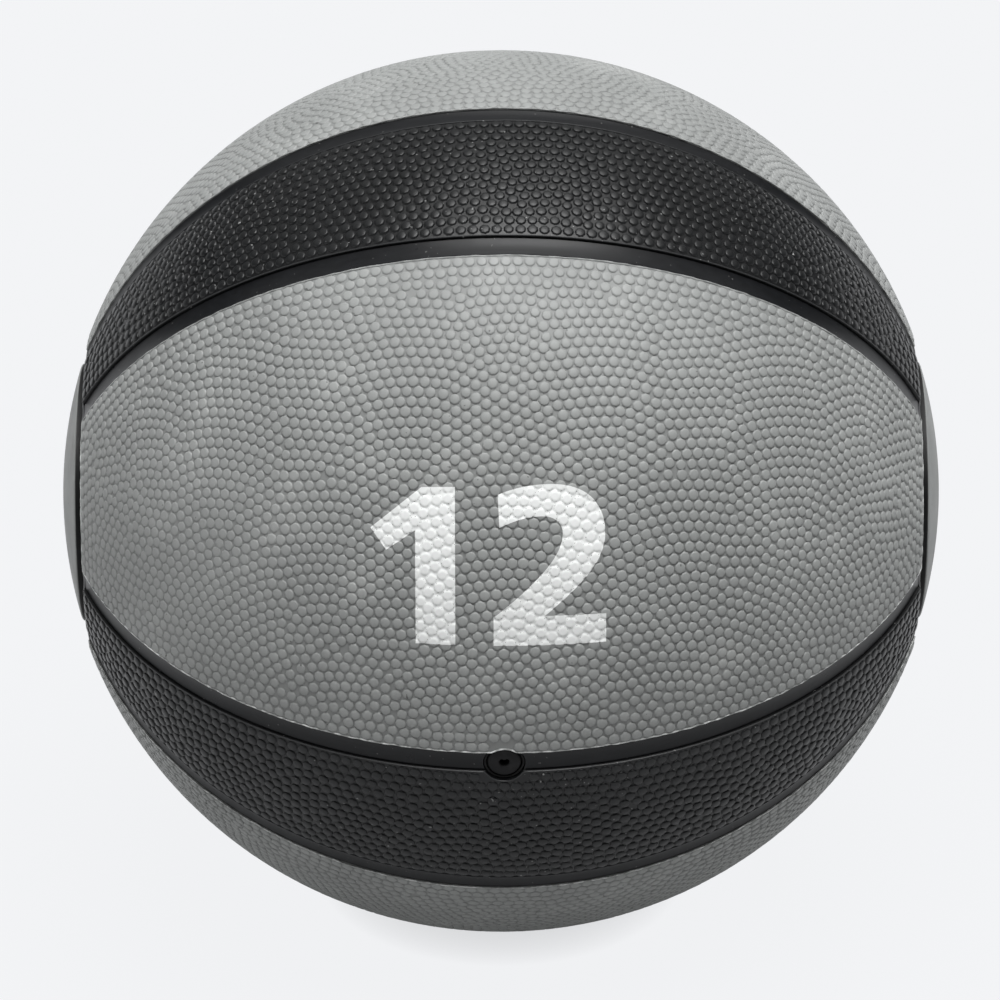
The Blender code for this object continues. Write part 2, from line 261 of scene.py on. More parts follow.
class Pattern:
    """Angles and radii of the panel pattern, worked out from the sizes in the sidebar."""

    def __init__(self, sizes):
        self.radius = sizes.ball_radius
        self.skin = sizes.ball_radius - sizes.skin_sink
        self.inner = sizes.ball_radius - sizes.cover_thickness
        self.front = sizes.front_elevation
        self.panel_pitch = 2.0 * pi / len(PANEL_NAMES)
        self.band_half = sizes.band_half_angle
        self.panel_edge = self.panel_pitch / 2.0 - sizes.band_half_angle
        self.channel = sizes.channel_width / sizes.ball_radius
        self.gap = sizes.fit_gap / sizes.ball_radius
        self.cap = asin(sizes.cap_radius / sizes.ball_radius)
        self.end_latitude = pi / 2.0 - self.cap - self.channel - self.gap / 2.0
        self.hollow = sizes.channel_hollow
        self.band_step = sizes.band_step
        self.panel_step = sizes.panel_step

    def grey_half_width(self, latitude):
        return self.panel_edge - np.arcsin((self.channel + self.gap / 2.0) / np.cos(latitude))

    def band_half_width(self, latitude):
        return self.band_half - np.arcsin(self.gap / 2.0 / np.cos(latitude))

    def channel_drop(self, across):
        """Depth of a channel's hollow face below the ball, across from the band (0) to the panel (1)."""
        edges = self.band_step + (self.panel_step - self.band_step) * across
        return edges + self.hollow * (1.0 - (2.0 * across - 1.0) ** 2)


def ball_points(radius, latitude, meridian):
    """Latitude runs from the X = 0 plane towards +X, meridian from the front (-Y) upwards."""
    ring = radius * np.cos(latitude)
    columns = (radius * np.sin(latitude), -ring * np.cos(meridian), ring * np.sin(meridian))
    return np.stack(np.broadcast_arrays(*columns), axis=-1)


def turned_up(points, meridian):
    """Points turned about the pole axis, so that the front comes to this meridian."""
    x, y, z = points[..., 0], points[..., 1], points[..., 2]
    turned = (x, y * cos(meridian) + z * sin(meridian), z * cos(meridian) - y * sin(meridian))
    return np.stack(turned, axis=-1)


def add_object(name, mesh):
    made = bpy.data.objects.new(name, mesh)
    bpy.context.scene.collection.objects.link(made)
    return made


def outward_mesh(name, corners, faces):
    """Closed mesh with its faces turned outwards and shaded smooth."""
    mesh = bpy.data.meshes.new(name)
    mesh.from_pydata([tuple(corner) for corner in corners], [], [tuple(face) for face in faces])
    shape = bmesh.new()
    shape.from_mesh(mesh)
    if shape.calc_volume(signed=True) < 0.0:
        bmesh.ops.reverse_faces(shape, faces=shape.faces)
    shape.to_mesh(mesh)
    shape.free()
    mesh.shade_smooth()
    return mesh


def grid_faces(index):
    """Quads of a grid of corner numbers."""
    corners = (index[:-1, :-1], index[1:, :-1], index[1:, 1:], index[:-1, 1:])
    return np.stack(corners, axis=-1).reshape(-1, 4)


def slab_mesh(name, outer, inner):
    """Closed slab between two grids of points of one shape."""
    rows, columns = outer.shape[:2]
    index = np.arange(rows * columns).reshape(rows, columns)
    border = np.concatenate((index[0, :-1], index[:-1, -1], index[-1, :0:-1], index[:0:-1, 0]))
    after = np.roll(border, -1)
    below = rows * columns
    walls = np.stack((border, after, after + below, border + below), axis=-1)
    faces = np.concatenate((grid_faces(index), grid_faces(index)[:, ::-1] + below, walls))
    return outward_mesh(name, np.concatenate((outer.reshape(-1, 3), inner.reshape(-1, 3))), faces)


def turned_mesh(name, profile, steps, place):
    """Closed turned shape: place(radius, height, angle) puts each point of a closed profile."""
    corners = []
    rings = []
    for radius, height in profile:
        count = steps if radius > 0.0 else 1
        rings.append([len(corners) + step % count for step in range(steps)])
        corners += [place(radius, height, 2.0 * pi * step / steps) for step in range(count)]
    faces = []
    for ring, following in zip(rings, rings[1:] + rings[:1]):
        for step in range(steps):
            face = (ring[step], ring[step - 1], following[step - 1], following[step])
            face = tuple(dict.fromkeys(face))
            if len(face) > 2:
                faces.append(face)
    return outward_mesh(name, corners, faces)


def rounded_insets(rounding, steps):
    """Distances from an edge, and the drop of a quarter-round edge there."""
    turns = [pi / 2.0 * step / steps for step in range(steps + 1)]
    return [(rounding * (1.0 - cos(turn)), rounding * (1.0 - sin(turn))) for turn in turns]


def inset_line(half, insets, cells):
    """Places from -half to half: the insets at both ends and even cells between them."""
    inner = half - insets[-1]
    middle = np.linspace(-inner, inner, cells + 1)
    rim = half - np.array(insets[:-1])
    return np.concatenate((-rim, middle, rim[::-1]))


def inset_half(pattern, half_width, latitude, inset):
    """Half the width of a panel, in angle, this far inside its edges."""
    return half_width(latitude) - np.arcsin(inset / pattern.radius / np.cos(latitude))


def panel_slab(name, pattern, kind, middle):
    """Smooth panel or band about the meridian at its middle, with rounded edges, from ring to ring."""
    rim = rounded_insets(kind.rounding, 4)
    insets = [inset for inset, drop in rim]
    drops = [drop for inset, drop in rim]
    length = pattern.end_latitude * pattern.radius
    along = inset_line(length, insets, CELLS_ALONG)
    latitude = (along / pattern.radius)[:, None]
    shares = np.linspace(-1.0, 1.0, kind.cells_across + 1)[None, :]
    halves = [inset_half(pattern, kind.half_width, latitude, inset) for inset in insets]
    side = np.concatenate(halves[:-1], axis=1)
    meridian = np.concatenate((-side, halves[-1] * shares, side[:, ::-1]), axis=1)
    end_drop = np.interp(length - np.abs(along), insets, drops)[:, None]
    edge_drop = np.array(drops[:-1] + [0.0] * (kind.cells_across + 1) + drops[-2::-1])[None, :]
    outer_radius = pattern.skin - np.maximum(end_drop, edge_drop)
    outer = ball_points(outer_radius, latitude, middle + meridian)
    return slab_mesh(name, outer, ball_points(pattern.inner, latitude, middle + meridian))


def panel_border(pattern, half_width, inset):
    """Closed path round a panel at meridian 0, this far inside its edge, on the unit ball."""
    latitude = np.linspace(-1.0, 1.0, 400) * (pattern.end_latitude - inset / pattern.radius)
    half = inset_half(pattern, half_width, latitude, inset)
    end = np.linspace(-1.0, 1.0, 60)[1:-1]
    upper = ball_points(1.0, latitude[::-1], half[::-1])
    lower = ball_points(1.0, latitude, -half)
    right = ball_points(1.0, latitude[-1], half[-1] * end)
    left = ball_points(1.0, latitude[0], half[0] * end[::-1])
    return np.concatenate((lower, right, upper, left))


def panel_inside(pattern, half_width, inset):
    """Test of points on the unit ball: are they this far inside the panel at meridian 0."""
    def inside(points):
        latitude = np.arcsin(np.clip(points[:, 0], -1.0, 1.0))
        meridian = np.arctan2(points[:, 2], -points[:, 1])
        reach = pattern.end_latitude - inset / pattern.radius
        half = inset_half(pattern, half_width, np.clip(latitude, -reach, reach), inset)
        return (np.abs(latitude) <= reach) & (np.abs(meridian) <= half)
    return inside


def spaced_along(path, spacing):
    """Unit points along a closed path, as near to this spacing as a whole number allows."""
    closed = np.concatenate((path, path[:1]))
    travelled = np.concatenate(([0.0], np.cumsum(np.linalg.norm(np.diff(closed, axis=0), axis=1))))
    count = round(travelled[-1] / spacing)
    wanted = np.arange(count) * travelled[-1] / count
    points = np.stack([np.interp(wanted, travelled, closed[:, axis]) for axis in range(3)], axis=1)
    return points / np.linalg.norm(points, axis=1, keepdims=True)


def ring_rows(middle, reach, pitch):
    """Rings of points about a point of the unit ball, out to an angle from it."""
    out = Vector(middle)
    side = out.orthogonal().normalized()
    other = out.cross(side)
    rows = [np.array([tuple(out)])]
    row_pitch = ROW_SHARE * pitch
    for row in range(1, int(reach / row_pitch) + 1):
        polar = row * row_pitch
        count = round(2.0 * pi * sin(polar) / pitch)
        turn = 2.0 * pi * (np.arange(count)[:, None] + 0.5 * (row % 2)) / count
        aside = np.cos(turn) * np.array(side) + np.sin(turn) * np.array(other)
        rows.append(cos(polar) * np.array(out) + sin(polar) * aside)
    return rows


def fan_rows(pattern, pebbles, fans):
    """Rings of pebbles in fans on a panel at meridian 0 of the unit ball."""
    rows = []
    for along, up, left, right, bottom, top in np.array(fans) * MM / pattern.radius:
        middle = (sin(along) * cos(up), -cos(along) * cos(up), sin(up))
        reach = max(hypot(x - along, y - up) for x in (left, right) for y in (bottom, top))
        for ring in ring_rows(middle, min(reach, pi / 2.0), pebbles.pitch / pattern.radius):
            across = np.arctan2(ring[:, 0], -ring[:, 1])
            height = np.arcsin(ring[:, 2])
            is_own = (across >= left) & (across < right) & (height >= bottom) & (height < top)
            rows.append(ring[is_own])
    return rows


class PebbleField:
    """Points on the unit ball that keep a least distance from each other."""

    def __init__(self, distance):
        self.distance = distance
        self.cells = {}
        self.points = []

    def cell(self, point):
        return tuple(int(value // self.distance) for value in point)

    def is_free(self, point):
        cx, cy, cz = self.cell(point)
        for x in (cx - 1, cx, cx + 1):
            for y in (cy - 1, cy, cy + 1):
                for z in (cz - 1, cz, cz + 1):
                    for other in self.cells.get((x, y, z), ()):
                        if (point - other).length < self.distance:
                            return False
        return True

    def add(self, points, check=True):
        for point in map(Vector, points):
            if not check or self.is_free(point):
                self.cells.setdefault(self.cell(point), []).append(point)
                self.points.append(point)


def point_tree(points):
    """Search tree for the nearest of some points."""
    tree = kdtree.KDTree(len(points))
    for number, point in enumerate(points):
        tree.insert(point, number)
    tree.balance()
    return tree


def spread_evenly(points, held_count, spacing, inside, rounds):
    """Pushes crowded points apart on the unit ball. The first held_count points stay."""
    points = list(points)
    for _ in range(rounds):
        tree = point_tree(points)
        moved = points[:held_count]
        for number in range(held_count, len(points)):
            point = points[number]
            push = Vector()
            for other, other_number, distance in tree.find_range(point, spacing):
                if other_number != number:
                    push += (point - other) * (spacing - distance) / distance
            moved.append((point + 0.2 * push).normalized())
        kept = inside(np.array(moved))
        points = [new if keep else old for new, old, keep in zip(moved, points, kept)]
    return points


def fill_gaps(field, candidates):
    """Adds pebbles where the rows leave room for one, the widest gaps first."""
    tree = point_tree(field.points)
    room = np.array([tree.find(point)[2] for point in candidates])
    field.add(candidates[np.argsort(-room, kind="stable")])


def lay_pebbles(pattern, pebbles, half_width, fans):
    """Places of pebbles at meridian 0 of the unit ball: rows along the border, then the piece's fans."""
    pitch = pebbles.pitch / pattern.radius
    row_pitch = ROW_SHARE * pebbles.pitch
    field = PebbleField(LEAST_SHARE * pitch)
    first_row = panel_border(pattern, half_width, pebbles.border)
    field.add(spaced_along(first_row, FIRST_ROW_SPACING * pitch), check=False)
    held_count = len(field.points)
    inset = pebbles.border
    for _ in range(pebbles.border_rows - 1):
        inset += pebbles.pitch
        field.add(spaced_along(panel_border(pattern, half_width, inset), NEXT_ROW_SPACING * pitch))
    within = panel_inside(pattern, half_width, inset + row_pitch)
    for row in fan_rows(pattern, pebbles, fans):
        field.add(row[within(row)])
    grid = np.concatenate(ring_rows((0.0, -1.0, 0.0), pattern.end_latitude, GAP_GRID * pitch))
    grid = grid[panel_inside(pattern, half_width, pebbles.border + row_pitch)(grid)]
    inside = panel_inside(pattern, half_width, pebbles.border)
    points = field.points
    for _ in range(FILL_ROUNDS):
        field = PebbleField(LEAST_SHARE * pitch)
        field.add(points, check=False)
        fill_gaps(field, grid)
        points = spread_evenly(field.points, held_count, PUSH_REACH * pitch, inside, SPREAD_ROUNDS)
    return np.array(points)


# A pebble of unit width and height: distance from its middle, and height above the skin
DOME_PROFILE = ((0.0, 1.0), (0.34, 0.97), (0.45, 0.66), (0.5, -0.25))


def dome_mesh():
    """Closed pebble of unit width and height, with its foot sunk into the skin."""
    steps = 8
    corners = [Vector((0.0, 0.0, DOME_PROFILE[0][1]))]
    for radius, height in DOME_PROFILE[1:]:
        turns = [2.0 * pi * step / steps for step in range(steps)]
        corners += [Vector((radius * cos(turn), radius * sin(turn), height)) for turn in turns]
    faces = []
    for step in range(steps):
        following = (step + 1) % steps
        faces.append((0, 1 + step, 1 + following))
        for low in range(1, len(corners) - steps, steps):
            faces.append((low + step, low + steps + step, low + steps + following, low + following))
    faces.append(tuple(len(corners) - 1 - step for step in range(steps)))
    mesh = outward_mesh("pebble_dome", corners, faces)
    crown = mesh.attributes.new("crown", "FLOAT", "POINT")
    crown.data.foreach_set("value", [max(0.0, corner.z) for corner in corners])
    return mesh


def add_node(tree, kind, sockets=None, **settings):
    """Adds a node with its settings. A socket takes a value, or the output that is linked to it."""
    made = tree.nodes.new(kind)
    for name, value in settings.items():
        setattr(made, name, value)
    for key, value in (sockets or {}).items():
        if isinstance(value, bpy.types.NodeSocket):
            tree.links.new(value, made.inputs[key])
        else:
            made.inputs[key].default_value = value
    return made


def pebble_tree():
    """Geometry nodes that set pebbles on a skin and run a flash line round it."""
    tree = bpy.data.node_groups.new("Pebbled rubber", "GeometryNodeTree")
    tree.interface.new_socket("Geometry", in_out="OUTPUT", socket_type="NodeSocketGeometry")
    inputs = (
        ("Skin", "Geometry"), ("Pebble places", "Object"), ("Pebble dome", "Object"),
        ("Flash path", "Object"), ("Pebble diameter", "Float"), ("Pebble height", "Float"),
        ("Flash width", "Float"), ("Seed", "Int"), ("Rubber", "Material"),
    )
    for name, kind in inputs:
        tree.interface.new_socket(name, in_out="INPUT", socket_type="NodeSocket" + kind)
    given = add_node(tree, "NodeGroupInput").outputs
    places, dome, path = [
        add_node(tree, "GeometryNodeObjectInfo", {"Object": given[name]}).outputs["Geometry"]
        for name in ("Pebble places", "Pebble dome", "Flash path")
    ]
    position = add_node(tree, "GeometryNodeInputPosition")
    upright = add_node(tree, "FunctionNodeAlignRotationToVector", {"Vector": position.outputs[0]}, axis="Z")
    turn = add_node(tree, "FunctionNodeRandomValue", {"Seed": given["Seed"], "Max": 2.0 * pi},
                    data_type="FLOAT")
    spin = add_node(tree, "FunctionNodeAxisAngleToRotation",
                    {"Axis": (0.0, 0.0, 1.0), "Angle": turn.outputs["Value"]})
    pose = add_node(tree, "FunctionNodeRotateRotation",
                    {"Rotation": upright.outputs[0], "Rotate By": spin.outputs[0]}, rotation_space="LOCAL")
    scale = add_node(tree, "ShaderNodeCombineXYZ")
    sizes = (("X", "Pebble diameter", "pebble_size"), ("Y", "Pebble diameter", "pebble_size"),
             ("Z", "Pebble height", "pebble_rise"))
    for axis, full_size, share_name in sizes:
        share = add_node(tree, "GeometryNodeInputNamedAttribute", {"Name": share_name}, data_type="FLOAT")
        size = add_node(tree, "ShaderNodeMath", {0: given[full_size], 1: share.outputs["Attribute"]},
                        operation="MULTIPLY")
        tree.links.new(size.outputs[0], scale.inputs[axis])
    pebbles = add_node(tree, "GeometryNodeInstanceOnPoints", {
        "Points": places, "Instance": dome, "Rotation": pose.outputs[0], "Scale": scale.outputs[0],
    })
    tone = add_node(tree, "FunctionNodeRandomValue", {"Seed": given["Seed"]}, data_type="FLOAT")
    toned = add_node(tree, "GeometryNodeStoreNamedAttribute", {
        "Geometry": pebbles.outputs[0], "Name": "tone", "Value": tone.outputs["Value"],
    }, data_type="FLOAT", domain="INSTANCE")
    line = add_node(tree, "GeometryNodeMeshToCurve", {"Mesh": path})
    radius = add_node(tree, "ShaderNodeMath", {0: given["Flash width"], 1: 0.5}, operation="MULTIPLY")
    section = add_node(tree, "GeometryNodeCurvePrimitiveCircle",
                       {"Resolution": 6, "Radius": radius.outputs[0]})
    flash = add_node(tree, "GeometryNodeCurveToMesh",
                     {"Curve": line.outputs[0], "Profile Curve": section.outputs[0], "Fill Caps": True})
    marked = add_node(tree, "GeometryNodeStoreNamedAttribute",
                      {"Geometry": flash.outputs[0], "Name": "flash", "Value": 1.0}, data_type="FLOAT")
    joined = add_node(tree, "GeometryNodeJoinGeometry")
    for part in (marked.outputs[0], toned.outputs[0], given["Skin"]):
        tree.links.new(part, joined.inputs[0])
    real = add_node(tree, "GeometryNodeRealizeInstances", {"Geometry": joined.outputs[0]})
    coated = add_node(tree, "GeometryNodeSetMaterial",
                      {"Geometry": real.outputs[0], "Material": given["Rubber"]})
    add_node(tree, "NodeGroupOutput", {0: coated.outputs[0]})
    return tree


def made_plain(piece):
    """Turns the piece's evaluated shape into its own plain mesh."""
    depsgraph = bpy.context.evaluated_depsgraph_get()
    mesh = bpy.data.meshes.new_from_object(piece.evaluated_get(depsgraph))
    piece.modifiers.clear()
    old = piece.data
    piece.data = mesh
    bpy.data.meshes.remove(old)
    mesh.name = piece.name


def remove_object(helper):
    mesh = helper.data
    bpy.data.objects.remove(helper)
    bpy.data.meshes.remove(mesh)


def set_inputs(modifier, values):
    """Sets a Geometry Nodes modifier's inputs, found by name, through their socket identifiers."""
    for item in modifier.node_group.interface.items_tree:
        if item.in_out == "INPUT" and item.name in values:
            modifier[item.identifier] = values[item.name]


def point_object(name, points, edges=()):
    mesh = bpy.data.meshes.new(name)
    mesh.from_pydata([tuple(point) for point in points], list(edges), [])
    return add_object(name, mesh)


def pebble_scales(layout, seed, shallows):
    """Width and height of each pebble of a piece at meridian 0, as shares of the full one.

    They differ a little from pebble to pebble, and the heights shrink in the shallow parts of the mould.
    """
    chance = np.random.default_rng(seed)
    widths = np.clip(chance.normal(1.0, 0.035, len(layout)), 0.9, 1.07)
    heights = widths.copy()
    for along, up, length, height, loss in shallows:
        away = ((layout[:, 0] - along) / length) ** 2 + ((layout[:, 2] - up) / height) ** 2
        heights *= 1.0 - loss * np.exp(-away)
    return np.stack((widths, heights), axis=1)


def dress_with_pebbles(piece, places, scales, flash_path, flash_width, material, context):
    """Runs the pebble tree over a skin and leaves one plain mesh."""
    pebbles = context.scene.pebble_sizes
    tree = bpy.data.node_groups.get("Pebbled rubber") or pebble_tree()
    points = point_object("pebble_places", places)
    for column, name in enumerate(("pebble_size", "pebble_rise")):
        shares = np.ascontiguousarray(scales[:, column])
        points.data.attributes.new(name, "FLOAT", "POINT").data.foreach_set("value", shares)
    dome = add_object("pebble_dome", dome_mesh())
    count = len(flash_path)
    path = point_object("flash_path", flash_path, [(n, (n + 1) % count) for n in range(count)])
    modifier = piece.modifiers.new("Pebbles", "NODES")
    modifier.node_group = tree
    set_inputs(modifier, {
        "Pebble places": points, "Pebble dome": dome, "Flash path": path,
        "Pebble diameter": pebbles.diameter, "Pebble height": pebbles.height,
        "Flash width": flash_width, "Seed": pebbles.seed, "Rubber": material,
    })
    made_plain(piece)
    piece.data.set_sharp_from_angle(angle=PEBBLED_SHARP_ANGLE)
    for helper in (points, dome, path):
        remove_object(helper)


def place_piece(piece, node, slot, body="ball"):
    """The piece rides on its body and stands for one node of the frame."""
    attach(piece, body)
    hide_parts(node)


def place_mesh(mesh, material, node, slot, body="ball"):
    """Adds a smooth mesh with its material and sharp edges, and places it for one node of the frame."""
    mesh.materials.append(material)
    mesh.set_sharp_from_angle(angle=SHARP_ANGLE)
    place_piece(add_object(mesh.name, mesh), node, slot, body)


def valve_axis():
    return Vector(frame["joints"][0]["axis"]).normalized()


def valve_frame():
    """Right, up and out directions at the valve."""
    out = valve_axis()
    right = Vector((1.0, 0.0, 0.0))
    return right, out.cross(right), out


def at_valve(radius, height, angle):
    """Point at this distance from the valve axis, this far out from the centre of the ball."""
    right, up, out = valve_frame()
    return right * (radius * cos(angle)) + up * (radius * sin(angle)) + out * height


def from_valve_axis(points):
    """Distance of points from the valve axis, and how far out along it they are."""
    axis = np.array(valve_axis())
    height = points @ axis
    return np.linalg.norm(points - height[:, None] * axis, axis=1), height


def clear_of_valve(places, scales, radius, diameter):
    """Pebbles that don't stand over the edge of the valve's hole, and their scales."""
    aside, height = from_valve_axis(places)
    is_clear = (height <= 0.0) | (aside > radius + PEBBLE_CLEARANCE * diameter)
    return places[is_clear], scales[is_clear]


def cut_valve_hole(piece, radius, pattern):
    """Cuts the valve's round hole through a piece of the cover."""
    top = pattern.radius + 3.0 * MM
    bottom = pattern.inner - 3.0 * MM
    profile = [(0.0, top), (radius, top), (radius, bottom), (0.0, bottom)]
    mesh = turned_mesh("valve_hole_cutter", profile, VALVE_STEPS, at_valve)
    cutter = add_object(mesh.name, mesh)
    cut = piece.modifiers.new("Valve hole", "BOOLEAN")
    cut.operation = "DIFFERENCE"
    cut.solver = "EXACT"
    cut.object = cutter
    made_plain(piece)
    remove_object(cutter)


def round_the_valve(path, radius, side):
    """Bends a path that runs past the valve round its hole, above it (1) or below it (-1)."""
    right, up, out = (np.array(direction) for direction in valve_frame())
    aside, beyond, height = path @ right, side * (path @ up), path @ out
    near = (height > 0.0) & (np.abs(aside) < radius)
    bow = np.sqrt(np.maximum(0.0, radius ** 2 - aside ** 2))
    bent = np.where(near & (beyond < bow) & (beyond > 0.0), bow, beyond)
    return path + side * (bent - beyond)[:, None] * up


def line_round(pattern, kind, seed):
    """Path of the line on the rounded edge of a panel or band at meridian 0, a little ragged."""
    border = panel_border(pattern, kind.half_width, 0.45 * kind.rounding)
    path = spaced_along(border, 0.9 * MM / pattern.radius) * pattern.skin
    noise.seed_set(seed)
    places = [Vector(point) for point in path]
    return np.array([place + noise.noise_vector(place / (2.6 * MM)) * kind.wander for place in places])


def shade(colour, factor=1.0):
    """Colour for a node's socket, from a linear colour or an sRGB hex value, made lighter or darker."""
    if isinstance(colour, str):
        colour = linear(colour)
    return (*[value * factor for value in colour], 1.0)


class Coat:
    """A material in the making: colours laid over each other, a gloss worn in patches and a fine grain."""

    def __init__(self, name, specular, colour):
        self.material = bpy.data.materials.new(name)
        self.material.use_nodes = True
        self.tree = self.material.node_tree
        self.shader = self.tree.nodes["Principled BSDF"]
        self.shader.inputs["IOR"].default_value = RUBBER_IOR
        self.shader.inputs["Specular IOR Level"].default_value = specular
        self.place = add_node(self.tree, "ShaderNodeTexCoord").outputs["Object"]
        self.colour = colour

    def patches(self, size, low, high, detail=2.0, place=None):
        """Mask of soft patches of about this size in millimetres, by the noise level where they start."""
        cloud = add_node(self.tree, "ShaderNodeTexNoise", {
            "Vector": place or self.place, "Scale": 1.0 / (size * MM), "Detail": detail,
        })
        return add_node(self.tree, "ShaderNodeMapRange", {
            "Value": cloud.outputs[0], "From Min": low, "From Max": high,
        }, interpolation_type="SMOOTHSTEP").outputs[0]

    def lay(self, colour, mask, share=1.0):
        """Lays a colour over those before it, by a share of a mask or of an attribute of the piece."""
        if isinstance(mask, str):
            mask = add_node(self.tree, "ShaderNodeAttribute", attribute_name=mask).outputs["Fac"]
        if share != 1.0:
            mask = add_node(self.tree, "ShaderNodeMath", {0: mask, 1: share}, operation="MULTIPLY").outputs[0]
        mixed = add_node(self.tree, "ShaderNodeMix", {0: mask, 6: self.colour, 7: colour}, data_type="RGBA")
        self.colour = mixed.outputs[2]

    def lay_shade_between_pebbles(self, colour, share):
        """Lays painted shade: a darker colour on the skin between the pebbles and up their sides, and none on
        their crowns.
        """
        crown = add_node(self.tree, "ShaderNodeAttribute", attribute_name="crown").outputs["Fac"]
        low = add_node(self.tree, "ShaderNodeMapRange", {
            "Value": crown, "From Max": 0.55, "To Min": share, "To Max": 0.0,
        })
        self.lay(colour, low.outputs[0])

    def lay_in_joint(self, colour, face, start):
        """Lays a colour on the walls of a joint, from this far in millimetres below the face."""
        out = add_node(self.tree, "ShaderNodeVectorMath", {0: self.place}, operation="LENGTH")
        deep = add_node(self.tree, "ShaderNodeMapRange", {
            "Value": out.outputs["Value"], "From Min": face - 0.4 * MM, "From Max": face - start * MM,
            "To Min": 1.0, "To Max": 0.0,
        })
        self.lay(colour, deep.outputs[0])

    def finish(self, low, high, grain, depth):
        """Links the colour, a roughness between two values, and a grain with its size and depth in mm."""
        wear = add_node(self.tree, "ShaderNodeTexNoise", {
            "Vector": self.place, "Scale": 1.0 / (9.0 * MM), "Detail": 4.0,
        })
        rough = add_node(self.tree, "ShaderNodeMapRange", {
            "Value": wear.outputs[0], "From Min": 0.3, "From Max": 0.7, "To Min": low, "To Max": high,
        })
        fine = add_node(self.tree, "ShaderNodeTexNoise", {
            "Vector": self.place, "Scale": 1.0 / (grain * MM), "Detail": 3.0,
        })
        bump = add_node(self.tree, "ShaderNodeBump", {
            "Strength": 0.5, "Distance": depth * MM, "Height": fine.outputs[0],
        })
        self.tree.links.new(self.colour, self.shader.inputs["Base Color"])
        self.tree.links.new(rough.outputs[0], self.shader.inputs["Roughness"])
        self.tree.links.new(bump.outputs[0], self.shader.inputs["Normal"])
        return self.material


def grey_rubber(colours, skin):
    """Moulded grey rubber: dull, with painted shade between pebbles, dark joint walls, dust and a pale
    trimmed edge with a painted highlight.
    """
    coat = Coat("moulded_grey_rubber", 0.36, shade(colours.grey, 0.93))
    coat.lay(shade(colours.grey, 1.07), coat.patches(34.0, 0.3, 0.7, 4.0))
    coat.lay(shade(colours.grey, 1.3), "tone", 0.12)
    # Painted shade: the skin between the pebbles is darkened, and the crowns are left as they are
    coat.lay_shade_between_pebbles(shade("#4e4f4e"), 0.24)
    coat.lay(shade(DUST), coat.patches(17.0, 0.55, 0.78, 6.0), 0.16)
    coat.lay(shade(DARK_SPECKS), coat.patches(1.0, 0.86, 0.88, 0.0), 0.75)
    coat.lay_in_joint(shade("#121212"), skin, 0.14)
    # Pale trimmed line round the panel with a painted highlight on it: full share at and below the middle of
    # the ball, falling to 0.3 of it towards the top
    torn = coat.patches(2.2, 0.4, 0.62)
    pale = add_node(coat.tree, "ShaderNodeMix", {0: torn, 6: shade("#9c9e9d"), 7: shade("#e0e2e1")},
                    data_type="RGBA")
    up = add_node(coat.tree, "ShaderNodeSeparateXYZ", {"Vector": coat.place}).outputs["Z"]
    pale_and_highlight_share = add_node(coat.tree, "ShaderNodeMapRange", {
        "Value": up, "From Min": 0.0, "From Max": 0.6 * skin, "To Min": 1.0, "To Max": 0.3,
    })
    coat.lay(pale.outputs[2], "flash", pale_and_highlight_share.outputs[0])
    return coat.finish(0.42, 0.54, 0.32, 0.02)


def cap_rubber(colours, face):
    """Smooth grey rubber of the end caps: dull, with soft stains, dust and painted shade on its wall in the
    joint.
    """
    coat = Coat("smooth_cap_rubber", 0.36, shade(colours.grey, 0.84))
    coat.lay(shade(colours.grey, 0.98), coat.patches(14.0, 0.3, 0.7, 5.0))
    coat.lay(shade(DUST), coat.patches(3.0, 0.55, 0.75, 4.0), 0.14)
    coat.lay(shade(DARK_SPECKS), coat.patches(1.0, 0.86, 0.88, 0.0), 0.75)
    # Painted shade: the cap's wall below its face is near black, as in the shaded depth of the groove beside
    # it
    coat.lay_in_joint(shade("#0c0c0c"), face, 0.16)
    return coat.finish(0.45, 0.58, 0.5, 0.04)


def black_rubber(colours):
    """Moulded black rubber: satin crowns, painted shade between them, thin grey bloom, painted rim highlight,
    a few pale dust specks.
    """
    coat = Coat("moulded_black_rubber", 0.25, shade(colours.black, 0.85))
    coat.lay(shade(colours.black, 1.25), coat.patches(26.0, 0.35, 0.75, 4.0))
    # Painted shade: the skin between the pebbles is darkened, and the crowns are left as they are
    coat.lay_shade_between_pebbles(shade("#0d0d0e"), 0.5)
    # Painted highlight: the bead round the band is painted greyer, as light catching its rim
    coat.lay(shade("#303132"), "flash")
    coat.lay(shade("#b5b6b5"), coat.patches(0.8, 0.83, 0.85, 0.0), 0.4)
    return coat.finish(0.28, 0.38, 0.32, 0.02)


def channel_rubber(colours):
    """Smooth black rubber of the channels: an even satin sheen with faint drawn streaks along the strip."""
    coat = Coat("smooth_channel_rubber", 0.17, shade(colours.channel, 0.85))
    drawn = add_node(coat.tree, "ShaderNodeVectorMath", {0: coat.place, 1: (0.06, 1.0, 1.0)},
                     operation="MULTIPLY")
    coat.lay(shade(colours.channel, 1.2), coat.patches(1.3, 0.35, 0.7, 3.0, drawn.outputs[0]))
    coat.lay(shade("#a6a6a4"), coat.patches(0.8, 0.83, 0.85, 0.0), 0.2)
    return coat.finish(0.27, 0.35, 0.25, 0.006)


def white_ink(colours):
    """Screen-printed white rubber ink: matt, a little thinner and greyer in places."""
    coat = Coat("white_screen_ink", 0.4, shade(colours.ink))
    coat.lay(shade("#c3c5c4"), coat.patches(2.4, 0.5, 0.8, 3.0), 0.2)
    return coat.finish(0.5, 0.62, 0.3, 0.012)


def core_rubber():
    """Filled rubber of the weighted core: dull and coarse, with mineral grains."""
    coat = Coat("filled_core_rubber", 0.4, shade("#2f2e2d"))
    coat.lay(shade("#454341"), coat.patches(1.6, 0.55, 0.7))
    return coat.finish(0.7, 0.85, 0.8, 0.1)


